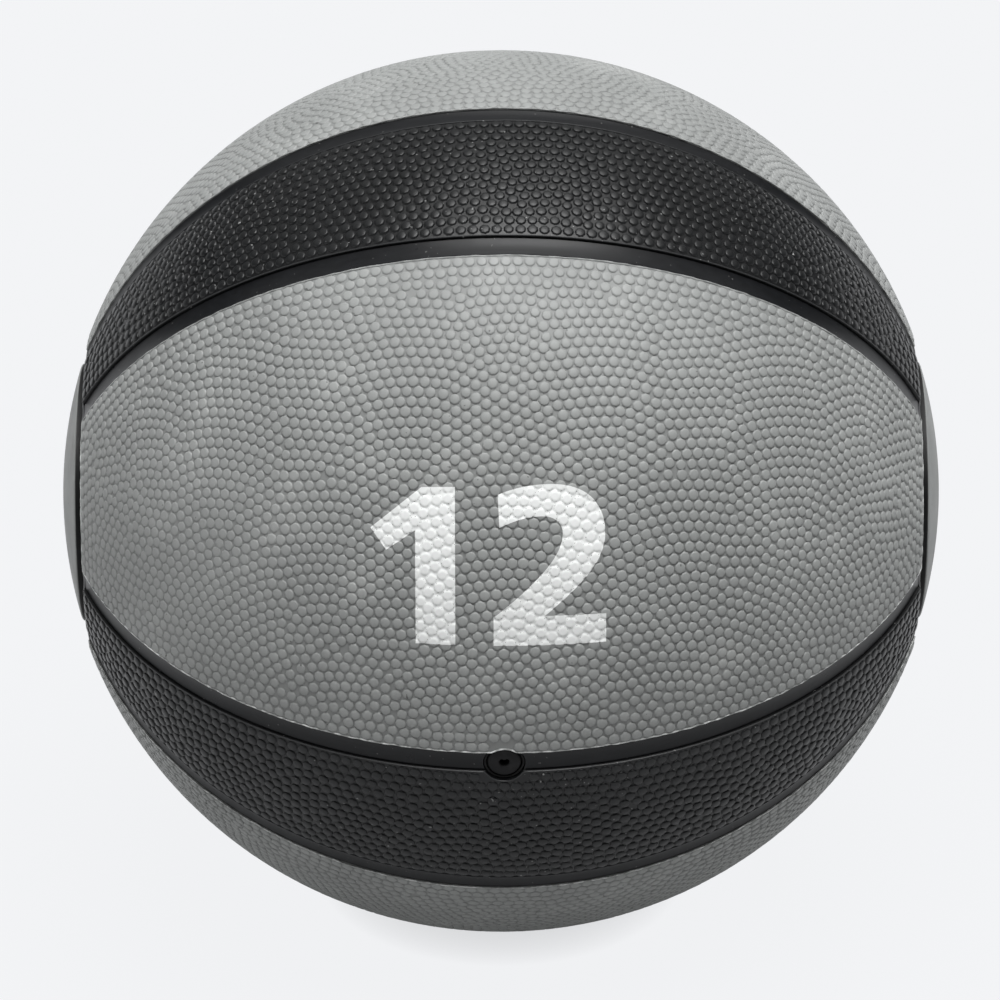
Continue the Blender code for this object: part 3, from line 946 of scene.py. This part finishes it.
def nylon_thread():
    """Nylon thread wound round the bladder: pale ridges about a millimetre apart, stiff with solution."""
    coat = Coat("wound_nylon_thread", 0.5, shade("#a59f92"))
    turns = add_node(coat.tree, "ShaderNodeTexWave", {
        "Vector": coat.place, "Scale": 0.314 / (1.1 * MM) / 2.0, "Distortion": 2.0, "Detail": 2.0,
        "Detail Scale": 30.0,
    }, bands_direction="DIAGONAL")
    coat.lay(shade("#dad5c9"), turns.outputs[1])
    return coat.finish(0.5, 0.65, 0.5, 0.05)


def butyl_rubber():
    """Butyl sheet of the bladder: smooth and dull, with a chalky bloom."""
    coat = Coat("butyl_sheet_rubber", 0.45, shade("#262627"))
    coat.lay(shade("#3b3b3b"), coat.patches(14.0, 0.4, 0.75, 5.0))
    return coat.finish(0.5, 0.68, 0.6, 0.03)


def valve_rubber(name, hex_code):
    """Soft valve rubber: dense black with a satin face, paler where a needle has rubbed it."""
    coat = Coat(name, 0.1, shade(hex_code))
    coat.lay(shade(hex_code, 2.2), coat.patches(2.2, 0.5, 0.8, 4.0), 0.5)
    return coat.finish(0.42, 0.55, 0.3, 0.015)


LAYOUTS = {}


def grey_layout(context):
    """Pebbles of a grey panel at meridian 0, laid once and kept."""
    if "grey" not in LAYOUTS:
        pattern = Pattern(context.scene.ball_sizes)
        mirrored = tuple((-x, y, -right, -left, low, high) for x, y, left, right, low, high in PANEL_FANS)
        LAYOUTS["grey"] = lay_pebbles(
            pattern, context.scene.pebble_sizes, pattern.grey_half_width, PANEL_FANS + mirrored)
    return LAYOUTS["grey"]


def front_pebbles(context):
    """Places on the ball, and scales, of the pebbles of the front panel, clear of the valve."""
    pattern = Pattern(context.scene.ball_sizes)
    pebbles = context.scene.pebble_sizes
    layout = grey_layout(context)
    places = turned_up(layout, pattern.front) * pattern.skin
    scales = pebble_scales(layout, pebbles.seed, PANEL_SHALLOWS)
    return clear_of_valve(places, scales, context.scene.valve_sizes.grey_recess_radius, pebbles.diameter)


def add_pebbled_pieces(context, kind):
    """Adds the four panels or bands, with a hole in the one beside the valve."""
    pattern = Pattern(context.scene.ball_sizes)
    pebbles = context.scene.pebble_sizes
    line = line_round(pattern, kind, pebbles.seed)
    for index, name in enumerate(kind.names):
        middle = pattern.front + (index + kind.first) * pattern.panel_pitch
        node = kind.node_start + name
        slab = panel_slab(node + "_dressed", pattern, kind, middle)
        piece = add_object(slab.name, slab)
        places = turned_up(kind.layout, middle) * pattern.skin
        scales = pebble_scales(kind.layout, pebbles.seed + index, kind.shallows.get(name, ()))
        path = turned_up(line, middle)
        if name == kind.valve_piece:
            cut_valve_hole(piece, kind.recess, pattern)
            places, scales = clear_of_valve(places, scales, kind.recess, pebbles.diameter)
            path = round_the_valve(path, kind.recess + LINE_CLEARANCE, kind.valve_side)
        dress_with_pebbles(piece, places, scales, path, kind.line_width, kind.material, context)
        place_piece(piece, node, kind.slot)


class MEDICINEBALL_OT_grey_panels(Operator):
    """Adds the four grey pebbled panels"""

    bl_idname = "medicine_ball.grey_panels"
    bl_label = "Grey Panels"

    def execute(self, context):
        sizes = context.scene.ball_sizes
        pattern = Pattern(sizes)
        shallows = dict.fromkeys(PANEL_NAMES, PANEL_SHALLOWS)
        shallows["top"] = (*PANEL_SHALLOWS, TOP_SHALLOW)
        add_pebbled_pieces(context, SimpleNamespace(
            names=PANEL_NAMES, node_start="grey_panel_", slot="grey_rubber", first=0.0,
            half_width=pattern.grey_half_width, rounding=sizes.grey_rounding, cells_across=18,
            layout=grey_layout(context), shallows=shallows, line_width=sizes.flash_width, wander=0.14 * MM,
            valve_piece="front", valve_side=1.0, recess=context.scene.valve_sizes.grey_recess_radius,
            material=grey_rubber(context.scene.rubber_colours, pattern.skin),
        ))
        return {"FINISHED"}


class MEDICINEBALL_OT_black_bands(Operator):
    """Adds the four black pebbled bands"""

    bl_idname = "medicine_ball.black_bands"
    bl_label = "Black Bands"

    def execute(self, context):
        sizes = context.scene.ball_sizes
        pattern = Pattern(sizes)
        width = pattern.band_half_width
        add_pebbled_pieces(context, SimpleNamespace(
            names=BAND_NAMES, node_start="black_band_", slot="black_rubber", first=0.5,
            half_width=width, rounding=sizes.band_rounding, cells_across=8,
            layout=lay_pebbles(pattern, context.scene.pebble_sizes, width, BAND_FANS), shallows={},
            line_width=sizes.bead_width, wander=0.04 * MM,
            valve_piece="lower_front", valve_side=-1.0, recess=context.scene.valve_sizes.recess_radius,
            material=black_rubber(context.scene.rubber_colours),
        ))
        return {"FINISHED"}


def cap_place(side):
    """Puts a turned point at a pole: angle from the pole axis, and distance from the centre of the ball."""
    def place(polar, radius, turn):
        ring = radius * sin(polar)
        return Vector((side * radius * cos(polar), -ring * cos(turn), ring * sin(turn)))
    return place


class MEDICINEBALL_OT_end_caps(Operator):
    """Adds the round grey end cap at each pole"""

    bl_idname = "medicine_ball.end_caps"
    bl_label = "End Caps"

    def execute(self, context):
        sizes = context.scene.ball_sizes
        pattern = Pattern(sizes)
        face = pattern.radius - sizes.cap_sink
        material = cap_rubber(context.scene.rubber_colours, face)
        rim = asin(sizes.cap_edge / pattern.radius) - pattern.gap / 2.0
        edge = rounded_insets(sizes.cap_rounding, 4)
        inner_rim = rim - edge[-1][0] / pattern.radius
        face_rings = 24
        under_rings = 8
        outer = [(inner_rim * ring / face_rings, face) for ring in range(face_rings)]
        outer += [(rim - inset / pattern.radius, face - drop) for inset, drop in reversed(edge)]
        inner = [(rim * ring / under_rings, pattern.inner) for ring in range(under_rings, -1, -1)]
        for side_name, side in POLE_SIDES.items():
            node = "end_cap_" + side_name
            mesh = turned_mesh(node + "_dressed", outer + inner, CAP_STEPS, cap_place(side))
            place_mesh(mesh, material, node, "grey_rubber")
        return {"FINISHED"}


def channel_slab(name, pattern, edge_meridian, inward, start, end, cells):
    """Hollow strip beside a band, inward (+1 or -1) to the grey panel, between two latitudes."""
    latitude = np.linspace(start, end, cells + 1)[:, None]
    across = np.linspace(0.0, 1.0, CHANNEL_CELLS_ACROSS + 1)[None, :]
    offset = pattern.gap / 2.0 + (pattern.channel - pattern.gap) * across
    meridian = edge_meridian + inward * np.arcsin(offset / np.cos(latitude))
    outer = ball_points(pattern.radius - pattern.channel_drop(across), latitude, meridian)
    return slab_mesh(name, outer, ball_points(pattern.inner, latitude, meridian))


class MEDICINEBALL_OT_channels(Operator):
    """Adds the smooth black channel strips beside the bands"""

    bl_idname = "medicine_ball.channels"
    bl_label = "Channel Strips"

    def execute(self, context):
        pattern = Pattern(context.scene.ball_sizes)
        material = channel_rubber(context.scene.rubber_colours)
        end = pattern.end_latitude
        for index, panel_name in enumerate(PANEL_NAMES):
            middle = pattern.front + index * pattern.panel_pitch
            for side, edge_name in zip((-1.0, 1.0), PANEL_EDGE_NAMES[index]):
                node = "channel_" + panel_name + "_" + edge_name
                lengths = {node: (-end, end)}
                if node == VALVE_CHANNEL:
                    lengths = {node + "_left": (-end, 0.0), node + "_right": (0.0, end)}
                edge = middle + side * pattern.panel_edge
                for name, (start, stop) in lengths.items():
                    cells = round(CHANNEL_CELLS_HALFWAY * (stop - start) / end)
                    slab = channel_slab(name + "_dressed", pattern, edge, -side, start, stop, cells)
                    slab.materials.append(material)
                    piece = add_object(slab.name, slab)
                    if node == VALVE_CHANNEL:
                        cut_valve_hole(piece, context.scene.valve_sizes.recess_radius, pattern)
                    piece.data.set_sharp_from_angle(angle=SHARP_ANGLE)
                    place_piece(piece, name, "channel_rubber")
        return {"FINISHED"}


def run_in_drop(pattern, latitude, meridian):
    """Depth of the strips' hollow where they run out into a ring."""
    deepest = 0.0
    for index in range(len(PANEL_NAMES)):
        middle = pattern.front + index * pattern.panel_pitch
        for side in (-1.0, 1.0):
            turn = -side * (meridian - middle - side * pattern.panel_edge)
            turn = atan2(sin(turn), cos(turn))
            if abs(turn) < pi / 4.0:
                offset = asin(cos(latitude) * sin(turn))
                across = (offset - pattern.gap / 2.0) / (pattern.channel - pattern.gap)
                if 0.0 <= across <= 1.0:
                    deepest = max(deepest, pattern.channel_drop(across))
    return deepest


class MEDICINEBALL_OT_cap_rings(Operator):
    """Adds the smooth black ring channel round each end cap"""

    bl_idname = "medicine_ball.cap_rings"
    bl_label = "Ring Channels"

    def execute(self, context):
        sizes = context.scene.ball_sizes
        pattern = Pattern(sizes)
        material = bpy.data.materials["smooth_channel_rubber"]
        first = asin(sizes.cap_edge / pattern.radius) + pattern.gap / 2.0
        width = pattern.cap + pattern.channel - pattern.gap / 2.0 - first
        steps = 20
        profile = [(first + width * step / steps, 1.0) for step in range(steps + 1)]
        profile += [(first + width, 0.0), (first, 0.0)]

        def place_on(side):
            def place(polar, is_face, turn):
                radius = pattern.inner
                if is_face:
                    across = (polar - first) / width
                    rise = min(1.0, max(0.0, (across - 0.55) / 0.35))
                    drop = pattern.panel_step + sizes.ring_groove * (1.0 - rise * rise * (3.0 - 2.0 * rise))
                    opening = max(0.0, 2.0 * across - 1.0) ** 0.5
                    drop = max(drop, opening * run_in_drop(pattern, pi / 2.0 - polar, turn))
                    radius = pattern.radius - drop
                return cap_place(side)(polar, radius, turn)
            return place

        for side_name, side in POLE_SIDES.items():
            node = "cap_ring_" + side_name
            mesh = turned_mesh(node + "_dressed", profile, RING_STEPS, place_on(side))
            place_mesh(mesh, material, node, "channel_rubber")
        return {"FINISHED"}


class MEDICINEBALL_OT_valve(Operator):
    """Adds the valve stem and the plug in it"""

    bl_idname = "medicine_ball.valve"
    bl_label = "Valve"

    def execute(self, context):
        sizes = context.scene.valve_sizes
        gap = context.scene.ball_sizes.fit_gap
        face = context.scene.ball_sizes.ball_radius - sizes.face_depth
        self.add_stem(sizes, gap, face)
        self.add_plug(sizes, face)
        return {"FINISHED"}

    def add_stem(self, sizes, gap, face):
        """Turned stem: a thin lip round the plug's head, and the flange bonded inside the bladder."""
        solid = frame["nodes"]["valve_stem"].data
        distance, height = from_valve_axis(np.array([corner.co for corner in solid.vertices]))
        flange = distance.max()
        at_flange = height[distance > 0.98 * flange]
        bore = sizes.shank_radius + gap
        seat = face - sizes.head_thickness - gap
        neck = height[(distance < 1.02 * sizes.stem_radius) & (height < seat - gap)].max()
        lip = sizes.head_radius + gap
        lip_top = face - 0.3 * MM
        edge = 0.15 * MM
        fillet = 0.5 * MM
        profile = [
            (bore, seat), (lip, seat), (lip, lip_top - edge), (lip + edge, lip_top),
            (sizes.stem_radius - edge, lip_top), (sizes.stem_radius, lip_top - edge),
            (sizes.stem_radius, neck + fillet), (sizes.stem_radius + fillet, neck),
            (flange, at_flange.max()), (flange, at_flange.min()), (bore, height.min()),
        ]
        mesh = turned_mesh("valve_stem_dressed", profile, VALVE_STEPS, at_valve)
        material = valve_rubber("valve_stem_rubber", "#191919")
        place_mesh(mesh, material, "valve_stem", "valve_stem_rubber")

    def add_plug(self, sizes, face):
        """Turned plug with a rounded head and a fine ridge on its face. The needle hole has two lobes."""
        shoulder = face - sizes.head_thickness
        hole_bottom = face - sizes.hole_depth
        foot = face - sizes.plug_length
        edge = 0.7 * MM
        mouth = 0.25 * MM
        ridge = 0.05 * MM
        rounded = rounded_insets(edge, 5)
        profile = [(0.0, hole_bottom), (sizes.hole_radius, hole_bottom),
                   (sizes.hole_radius, face - 3.0 * mouth), (sizes.hole_radius, face - mouth),
                   (sizes.hole_radius + mouth, face)]
        profile += [(2.6 * MM, face + ridge), (2.9 * MM, face - ridge)]
        profile += [(sizes.head_radius - inset, face - drop) for inset, drop in reversed(rounded)]
        profile += [(sizes.head_radius, shoulder + 0.3 * MM), (sizes.head_radius - 0.3 * MM, shoulder),
                    (sizes.shank_radius, shoulder), (sizes.shank_radius, foot + edge),
                    (sizes.shank_radius - edge, foot), (0.0, foot)]
        widest = sizes.hole_radius + mouth

        def place(radius, height, angle):
            if 0.0 < radius <= widest and height > hole_bottom + edge:
                notch = max(0.0, sin(angle)) ** 8
                radius *= 1.0 - 0.42 * notch + 0.08 * abs(cos(angle))
            return at_valve(radius, height, angle)

        mesh = turned_mesh("valve_plug_dressed", profile, VALVE_STEPS, place)
        material = valve_rubber("valve_plug_rubber", "#1c1c1d")
        place_mesh(mesh, material, "valve_plug", "valve_plug_rubber", "plug")


# Outlines of the digits in millimetres on the front panel, along the panel and up from its middle line.
# An entry is a corner, or two handles and the end of a curve.
DIGIT_OUTLINES = {
    "1": (
        ((-22.4, -35.5),), ((-12.3, -35.5),), ((-12.3, 5.1),), ((-20.8, 5.1),),
        ((-33.9, -5.3),), ((-29.9, -11.1),), ((-22.4, -5.9),),
    ),
    "2": (
        ((-2.7, -35.5),), ((25.8, -35.5),), ((25.8, -27.8),), ((10.2, -27.8),),
        ((18.7, -20.5), (25.5, -14.5), (25.5, -6.7)), ((25.5, 1.0), (20.7, 5.75), (12.1, 5.75)),
        ((7.2, 5.75), (2.8, 4.9), (-1.6, 3.1)), ((-1.2, -5.2),),
        ((2.2, -3.6), (5.8, -2.35), (9.6, -2.35)), ((12.8, -2.35), (14.7, -4.2), (14.7, -6.7)),
        ((14.7, -13.0), (6.7, -20.5), (-2.7, -28.1)),
    ),
}


def even_outline(outline, spacing):
    """Points along a closed outline, about this far apart, with its corners kept."""
    points = []
    start = Vector(outline[-1][-1])
    for entry in outline:
        end = Vector(entry[-1])
        run = [start, end]
        if len(entry) == 3:
            run = geometry.interpolate_bezier(start, Vector(entry[0]), Vector(entry[1]), end, 40)
        lengths = [(after - before).length for before, after in zip(run, run[1:])]
        count = max(1, round(sum(lengths) / spacing))
        travelled = np.concatenate(([0.0], np.cumsum(lengths)))
        wanted = np.arange(count) * travelled[-1] / count
        across, up = np.array([tuple(point) for point in run]).T
        points += list(zip(np.interp(wanted, travelled, across), np.interp(wanted, travelled, up)))
        start = end
    return np.array(points)


def points_within(border, spacing):
    """Points of an even triangular grid inside a closed outline, clear of its line."""
    low, high = border.min(0), border.max(0)
    row_pitch = spacing * sqrt(3.0) / 2.0
    rows = int((high[1] - low[1]) / row_pitch) + 1
    columns = int((high[0] - low[0]) / spacing) + 2
    across = low[0] + spacing * (np.arange(columns)[None, :] + 0.5 * (np.arange(rows)[:, None] % 2))
    up = np.broadcast_to(low[1] + row_pitch * np.arange(rows)[:, None], across.shape)
    grid = np.stack((across, up), axis=-1).reshape(-1, 2)
    inside = np.zeros(len(grid), bool)
    for start, end in zip(border, np.roll(border, -1, axis=0)):
        crosses = (start[1] > grid[:, 1]) != (end[1] > grid[:, 1])
        rise = end[1] - start[1] if end[1] != start[1] else 1.0
        crossing = start[0] + (grid[:, 1] - start[1]) * (end[0] - start[0]) / rise
        inside ^= crosses & (grid[:, 0] < crossing)
    tree = point_tree([(*point, 0.0) for point in border])
    clear = [tree.find((*point, 0.0))[2] > 0.6 * spacing for point in grid]
    return grid[inside & np.array(clear)]


class PebbledSkin:
    """Height of the pebbles of the front panel above its skin."""

    def __init__(self, context):
        self.pebbles = context.scene.pebble_sizes
        places, self.scales = front_pebbles(context)
        self.tree = point_tree(places)
        self.shares = [share for share, height in DOME_PROFILE]
        self.heights = [height for share, height in DOME_PROFILE]

    def height(self, point):
        """Height at a point on the skin. Ink fills the bottom of the gaps a little."""
        highest = 0.1
        for place, number, distance in self.tree.find_n(point, 3):
            width, rise = self.scales[number]
            share = distance / self.pebbles.diameter / width
            highest = max(highest, float(np.interp(share, self.shares, self.heights)) * rise)
        return highest * self.pebbles.height


class MEDICINEBALL_OT_number(Operator):
    """Prints the number on the front panel as a film of ink that follows the pebbles"""

    bl_idname = "medicine_ball.number"
    bl_label = "Printed Number"

    def execute(self, context):
        settings = context.scene.number_sizes
        pattern = Pattern(context.scene.ball_sizes)
        skin = PebbledSkin(context)
        material = white_ink(context.scene.rubber_colours)
        for digit in settings.digits:
            border = even_outline(DIGIT_OUTLINES[digit], settings.grain / MM)
            flat = np.concatenate((border, points_within(border, settings.grain / MM)))
            count = len(border)
            edges = [(number, (number + 1) % count) for number in range(count)]
            found = geometry.delaunay_2d_cdt([Vector(point) for point in flat], edges, [], 1, 1e-6)
            corners = np.array([tuple(point) for point in found[0]])
            mesh = self.film(digit, corners, found[2], pattern, skin, settings)
            mesh.materials.append(material)
            mesh.set_sharp_from_angle(angle=PRINT_SHARP_ANGLE)
            piece = add_object(mesh.name, mesh)
            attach(piece, "ball")
        return {"FINISHED"}

    def film(self, digit, flat, triangles, pattern, skin, settings):
        """Closed film over the pebbles from the triangles of a flat digit."""
        latitude = flat[:, 0] * MM / pattern.radius
        meridian = pattern.front + flat[:, 1] * MM / pattern.radius
        directions = ball_points(1.0, latitude, meridian)
        heights = np.array([skin.height(direction * pattern.skin) for direction in directions])
        top = directions * (pattern.skin + heights + 0.6 * settings.ink)[:, None]
        bottom = directions * (pattern.skin + heights - 0.4 * settings.ink)[:, None]
        below = len(top)
        faces = [tuple(triangle) for triangle in triangles]
        sides = {}
        for face in faces:
            for start, end in zip(face, face[1:] + face[:1]):
                sides[(start, end)] = face
        rims = [side for side in sides if (side[1], side[0]) not in sides]
        walls = [(end, start, start + below, end + below) for start, end in rims]
        under = [tuple(corner + below for corner in reversed(face)) for face in faces]
        return outward_mesh("printed_digit_" + digit, np.concatenate((top, bottom)), faces + under + walls)


class MEDICINEBALL_OT_inside(Operator):
    """Gives the bladder, its winding and the weighted core their materials"""

    bl_idname = "medicine_ball.inside"
    bl_label = "Inside"

    def execute(self, context):
        core = core_rubber()
        finishes = {
            "core_half_valve_side": core, "core_half_far_side": core,
            "nylon_winding": nylon_thread(), "bladder": butyl_rubber(),
        }
        for node, material in finishes.items():
            mesh = frame["nodes"][node].data
            mesh.materials.clear()
            mesh.materials.append(material)
        return {"FINISHED"}


class MEDICINEBALL_OT_stage(Operator):
    """Sets up the floor, the light and the camera"""

    bl_idname = "medicine_ball.stage"
    bl_label = "Stage"

    def execute(self, context):
        studio = context.scene.studio_settings
        context.scene.view_settings.view_transform = "Standard"
        self.add_floor(studio)
        self.set_world(context.scene, studio)
        self.add_light("front_softbox", studio.front_light, studio.light_angle, (0.1, -0.22, 1.0))
        self.add_light("rear_softbox", studio.rear_light, studio.light_angle, (0.1, 0.26, 1.0))
        self.add_light("wide_softbox", studio.wide_light, studio.wide_angle, (0.0, 0.35, 1.0))
        self.add_light("fill_softbox", studio.fill_light, studio.light_angle, (-1.0, -0.45, 0.06))
        self.add_camera(context.scene, studio)
        return {"FINISHED"}

    def seen_as_backdrop(self, tree):
        """1 for rays from the camera, and for those that a gloss or glass sends on, else 0."""
        path = add_node(tree, "ShaderNodeLightPath").outputs
        seen = add_node(tree, "ShaderNodeMath", {0: path["Is Camera Ray"], 1: path["Is Glossy Ray"]},
                        operation="MAXIMUM")
        return add_node(tree, "ShaderNodeMath", {0: seen.outputs[0], 1: path["Is Transmission Ray"]},
                        operation="MAXIMUM").outputs[0]

    def add_floor(self, studio):
        """Wide pale floor under the ball. The camera sees the backdrop colour with a faint shadow.

        It is darker within a few millimetres of the ball, and a gloss sees little of its even glow.
        """
        shape = bmesh.new()
        bmesh.ops.create_grid(shape, x_segments=8, y_segments=8, size=30.0)
        bmesh.ops.translate(shape, verts=shape.verts, vec=(0.0, 0.0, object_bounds()[0].z))
        mesh = bpy.data.meshes.new("floor")
        shape.to_mesh(mesh)
        shape.free()
        material = bpy.data.materials.new("matt_studio_floor")
        material.use_nodes = True
        tree = material.node_tree
        tree.nodes.clear()
        seen = self.seen_as_backdrop(tree)
        lit_level = studio.ambient + (studio.front_light + studio.rear_light + studio.wide_light) / pi
        own = shade(studio.backdrop, 1.0 / lit_level)
        colour = add_node(tree, "ShaderNodeMix", {0: seen, 6: shade(studio.bounce), 7: own},
                          data_type="RGBA")
        matt = add_node(tree, "ShaderNodeBsdfDiffuse", {"Color": colour.outputs[2]})
        open_share = add_node(tree, "ShaderNodeAmbientOcclusion", {"Distance": 11.0 * MM}, samples=8)
        pale = add_node(tree, "ShaderNodeMix", {
            0: open_share.outputs["AO"], 6: shade(studio.backdrop, 0.72), 7: shade(studio.backdrop),
        }, data_type="RGBA")
        glow = add_node(tree, "ShaderNodeEmission", {"Color": pale.outputs[2]})
        is_gloss = add_node(tree, "ShaderNodeLightPath").outputs["Is Glossy Ray"]
        level = add_node(tree, "ShaderNodeMapRange", {"Value": is_gloss, "To Min": 0.97, "To Max": 0.2})
        share = add_node(tree, "ShaderNodeMath", {0: seen, 1: level.outputs[0]}, operation="MULTIPLY")
        mixed = add_node(tree, "ShaderNodeMixShader", {
            0: share.outputs[0], 1: matt.outputs[0], 2: glow.outputs[0],
        })
        add_node(tree, "ShaderNodeOutputMaterial", {"Surface": mixed.outputs[0]})
        mesh.materials.append(material)
        add_object("floor", mesh)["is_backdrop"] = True

    def set_world(self, scene, studio):
        """Even light from all sides. The camera sees a pale backdrop above the floor's edge."""
        scene.world = bpy.data.worlds.new("studio")
        scene.world.use_nodes = True
        tree = scene.world.node_tree
        tree.nodes.clear()
        even = shade([studio.ambient] * 3)
        direction = add_node(tree, "ShaderNodeTexCoord").outputs["Generated"]
        height = add_node(tree, "ShaderNodeSeparateXYZ", {"Vector": direction}).outputs["Z"]
        low = add_node(tree, "ShaderNodeMapRange", {
            "Value": height, "From Min": 0.11, "From Max": 0.14, "To Min": 1.0, "To Max": 0.0,
        })
        pale = add_node(tree, "ShaderNodeMath", {0: self.seen_as_backdrop(tree), 1: low.outputs[0]},
                        operation="MULTIPLY")
        colour = add_node(tree, "ShaderNodeMix", {
            0: pale.outputs[0], 6: even, 7: shade(studio.backdrop),
        }, data_type="RGBA")
        light = add_node(tree, "ShaderNodeBackground", {"Color": colour.outputs[2]})
        add_node(tree, "ShaderNodeOutputWorld", {"Surface": light.outputs[0]})

    def add_light(self, name, energy, angle, direction):
        """Soft light from one direction."""
        light = bpy.data.lights.new(name, "SUN")
        light.energy = energy
        light.angle = angle
        lamp = bpy.data.objects.new(name, light)
        lamp.rotation_euler = Vector(direction).to_track_quat("Z", "Y").to_euler()
        bpy.context.scene.collection.objects.link(lamp)

    def add_camera(self, scene, studio):
        """Long lens from the front and above. The shift puts the ball where the picture has it."""
        camera = bpy.data.cameras.new("camera")
        camera.lens = studio.lens
        camera.sensor_width = SENSOR_WIDTH
        camera.shift_x, camera.shift_y = CAMERA_SHIFT
        back = Vector((
            sin(studio.azimuth) * cos(studio.elevation),
            -cos(studio.azimuth) * cos(studio.elevation),
            sin(studio.elevation),
        ))
        holder = bpy.data.objects.new("camera", camera)
        holder.location = back * studio.distance
        holder.rotation_euler = back.to_track_quat("Z", "Y").to_euler()
        scene.collection.objects.link(holder)
        scene.camera = holder


class MEDICINEBALL_PT_sidebar(Panel):
    """Lists the pieces of the ball and their sizes"""

    bl_idname = "MEDICINEBALL_PT_sidebar"
    bl_label = "Medicine Ball"
    bl_space_type = "VIEW_3D"
    bl_region_type = "UI"
    bl_category = "Medicine Ball"

    def draw(self, context):
        for group_name in SETTINGS:
            box = self.layout.box()
            group = getattr(context.scene, group_name)
            for setting in group.bl_rna.properties:
                if setting.identifier not in ("name", "rna_type"):
                    box.prop(group, setting.identifier)
        for operator in OPERATORS:
            self.layout.operator(operator.bl_idname)


SETTINGS = {
    "ball_sizes": BallSizes, "pebble_sizes": PebbleSizes, "valve_sizes": ValveSizes,
    "number_sizes": NumberSizes, "rubber_colours": RubberColours, "studio_settings": StudioSettings,
}
OPERATORS = (
    MEDICINEBALL_OT_inside, MEDICINEBALL_OT_grey_panels, MEDICINEBALL_OT_black_bands,
    MEDICINEBALL_OT_end_caps, MEDICINEBALL_OT_channels, MEDICINEBALL_OT_cap_rings,
    MEDICINEBALL_OT_valve, MEDICINEBALL_OT_number, MEDICINEBALL_OT_stage,
)


def register():
    for kind in (*SETTINGS.values(), *OPERATORS, MEDICINEBALL_PT_sidebar):
        bpy.utils.register_class(kind)
    for name, group in SETTINGS.items():
        setattr(bpy.types.Scene, name, PointerProperty(type=group))


def unregister():
    for name in SETTINGS:
        delattr(bpy.types.Scene, name)
    for kind in reversed((*SETTINGS.values(), *OPERATORS, MEDICINEBALL_PT_sidebar)):
        bpy.utils.unregister_class(kind)


def main():
    """Adds every piece and the stage."""
    for old in [o for o in bpy.context.scene.objects if o.type in ("CAMERA", "LIGHT")]:
        bpy.data.objects.remove(old)
    register()
    for operator in OPERATORS:
        group, action = operator.bl_idname.split(".")
        getattr(getattr(bpy.ops, group), action)()


if __name__ == "__main__":
    main()
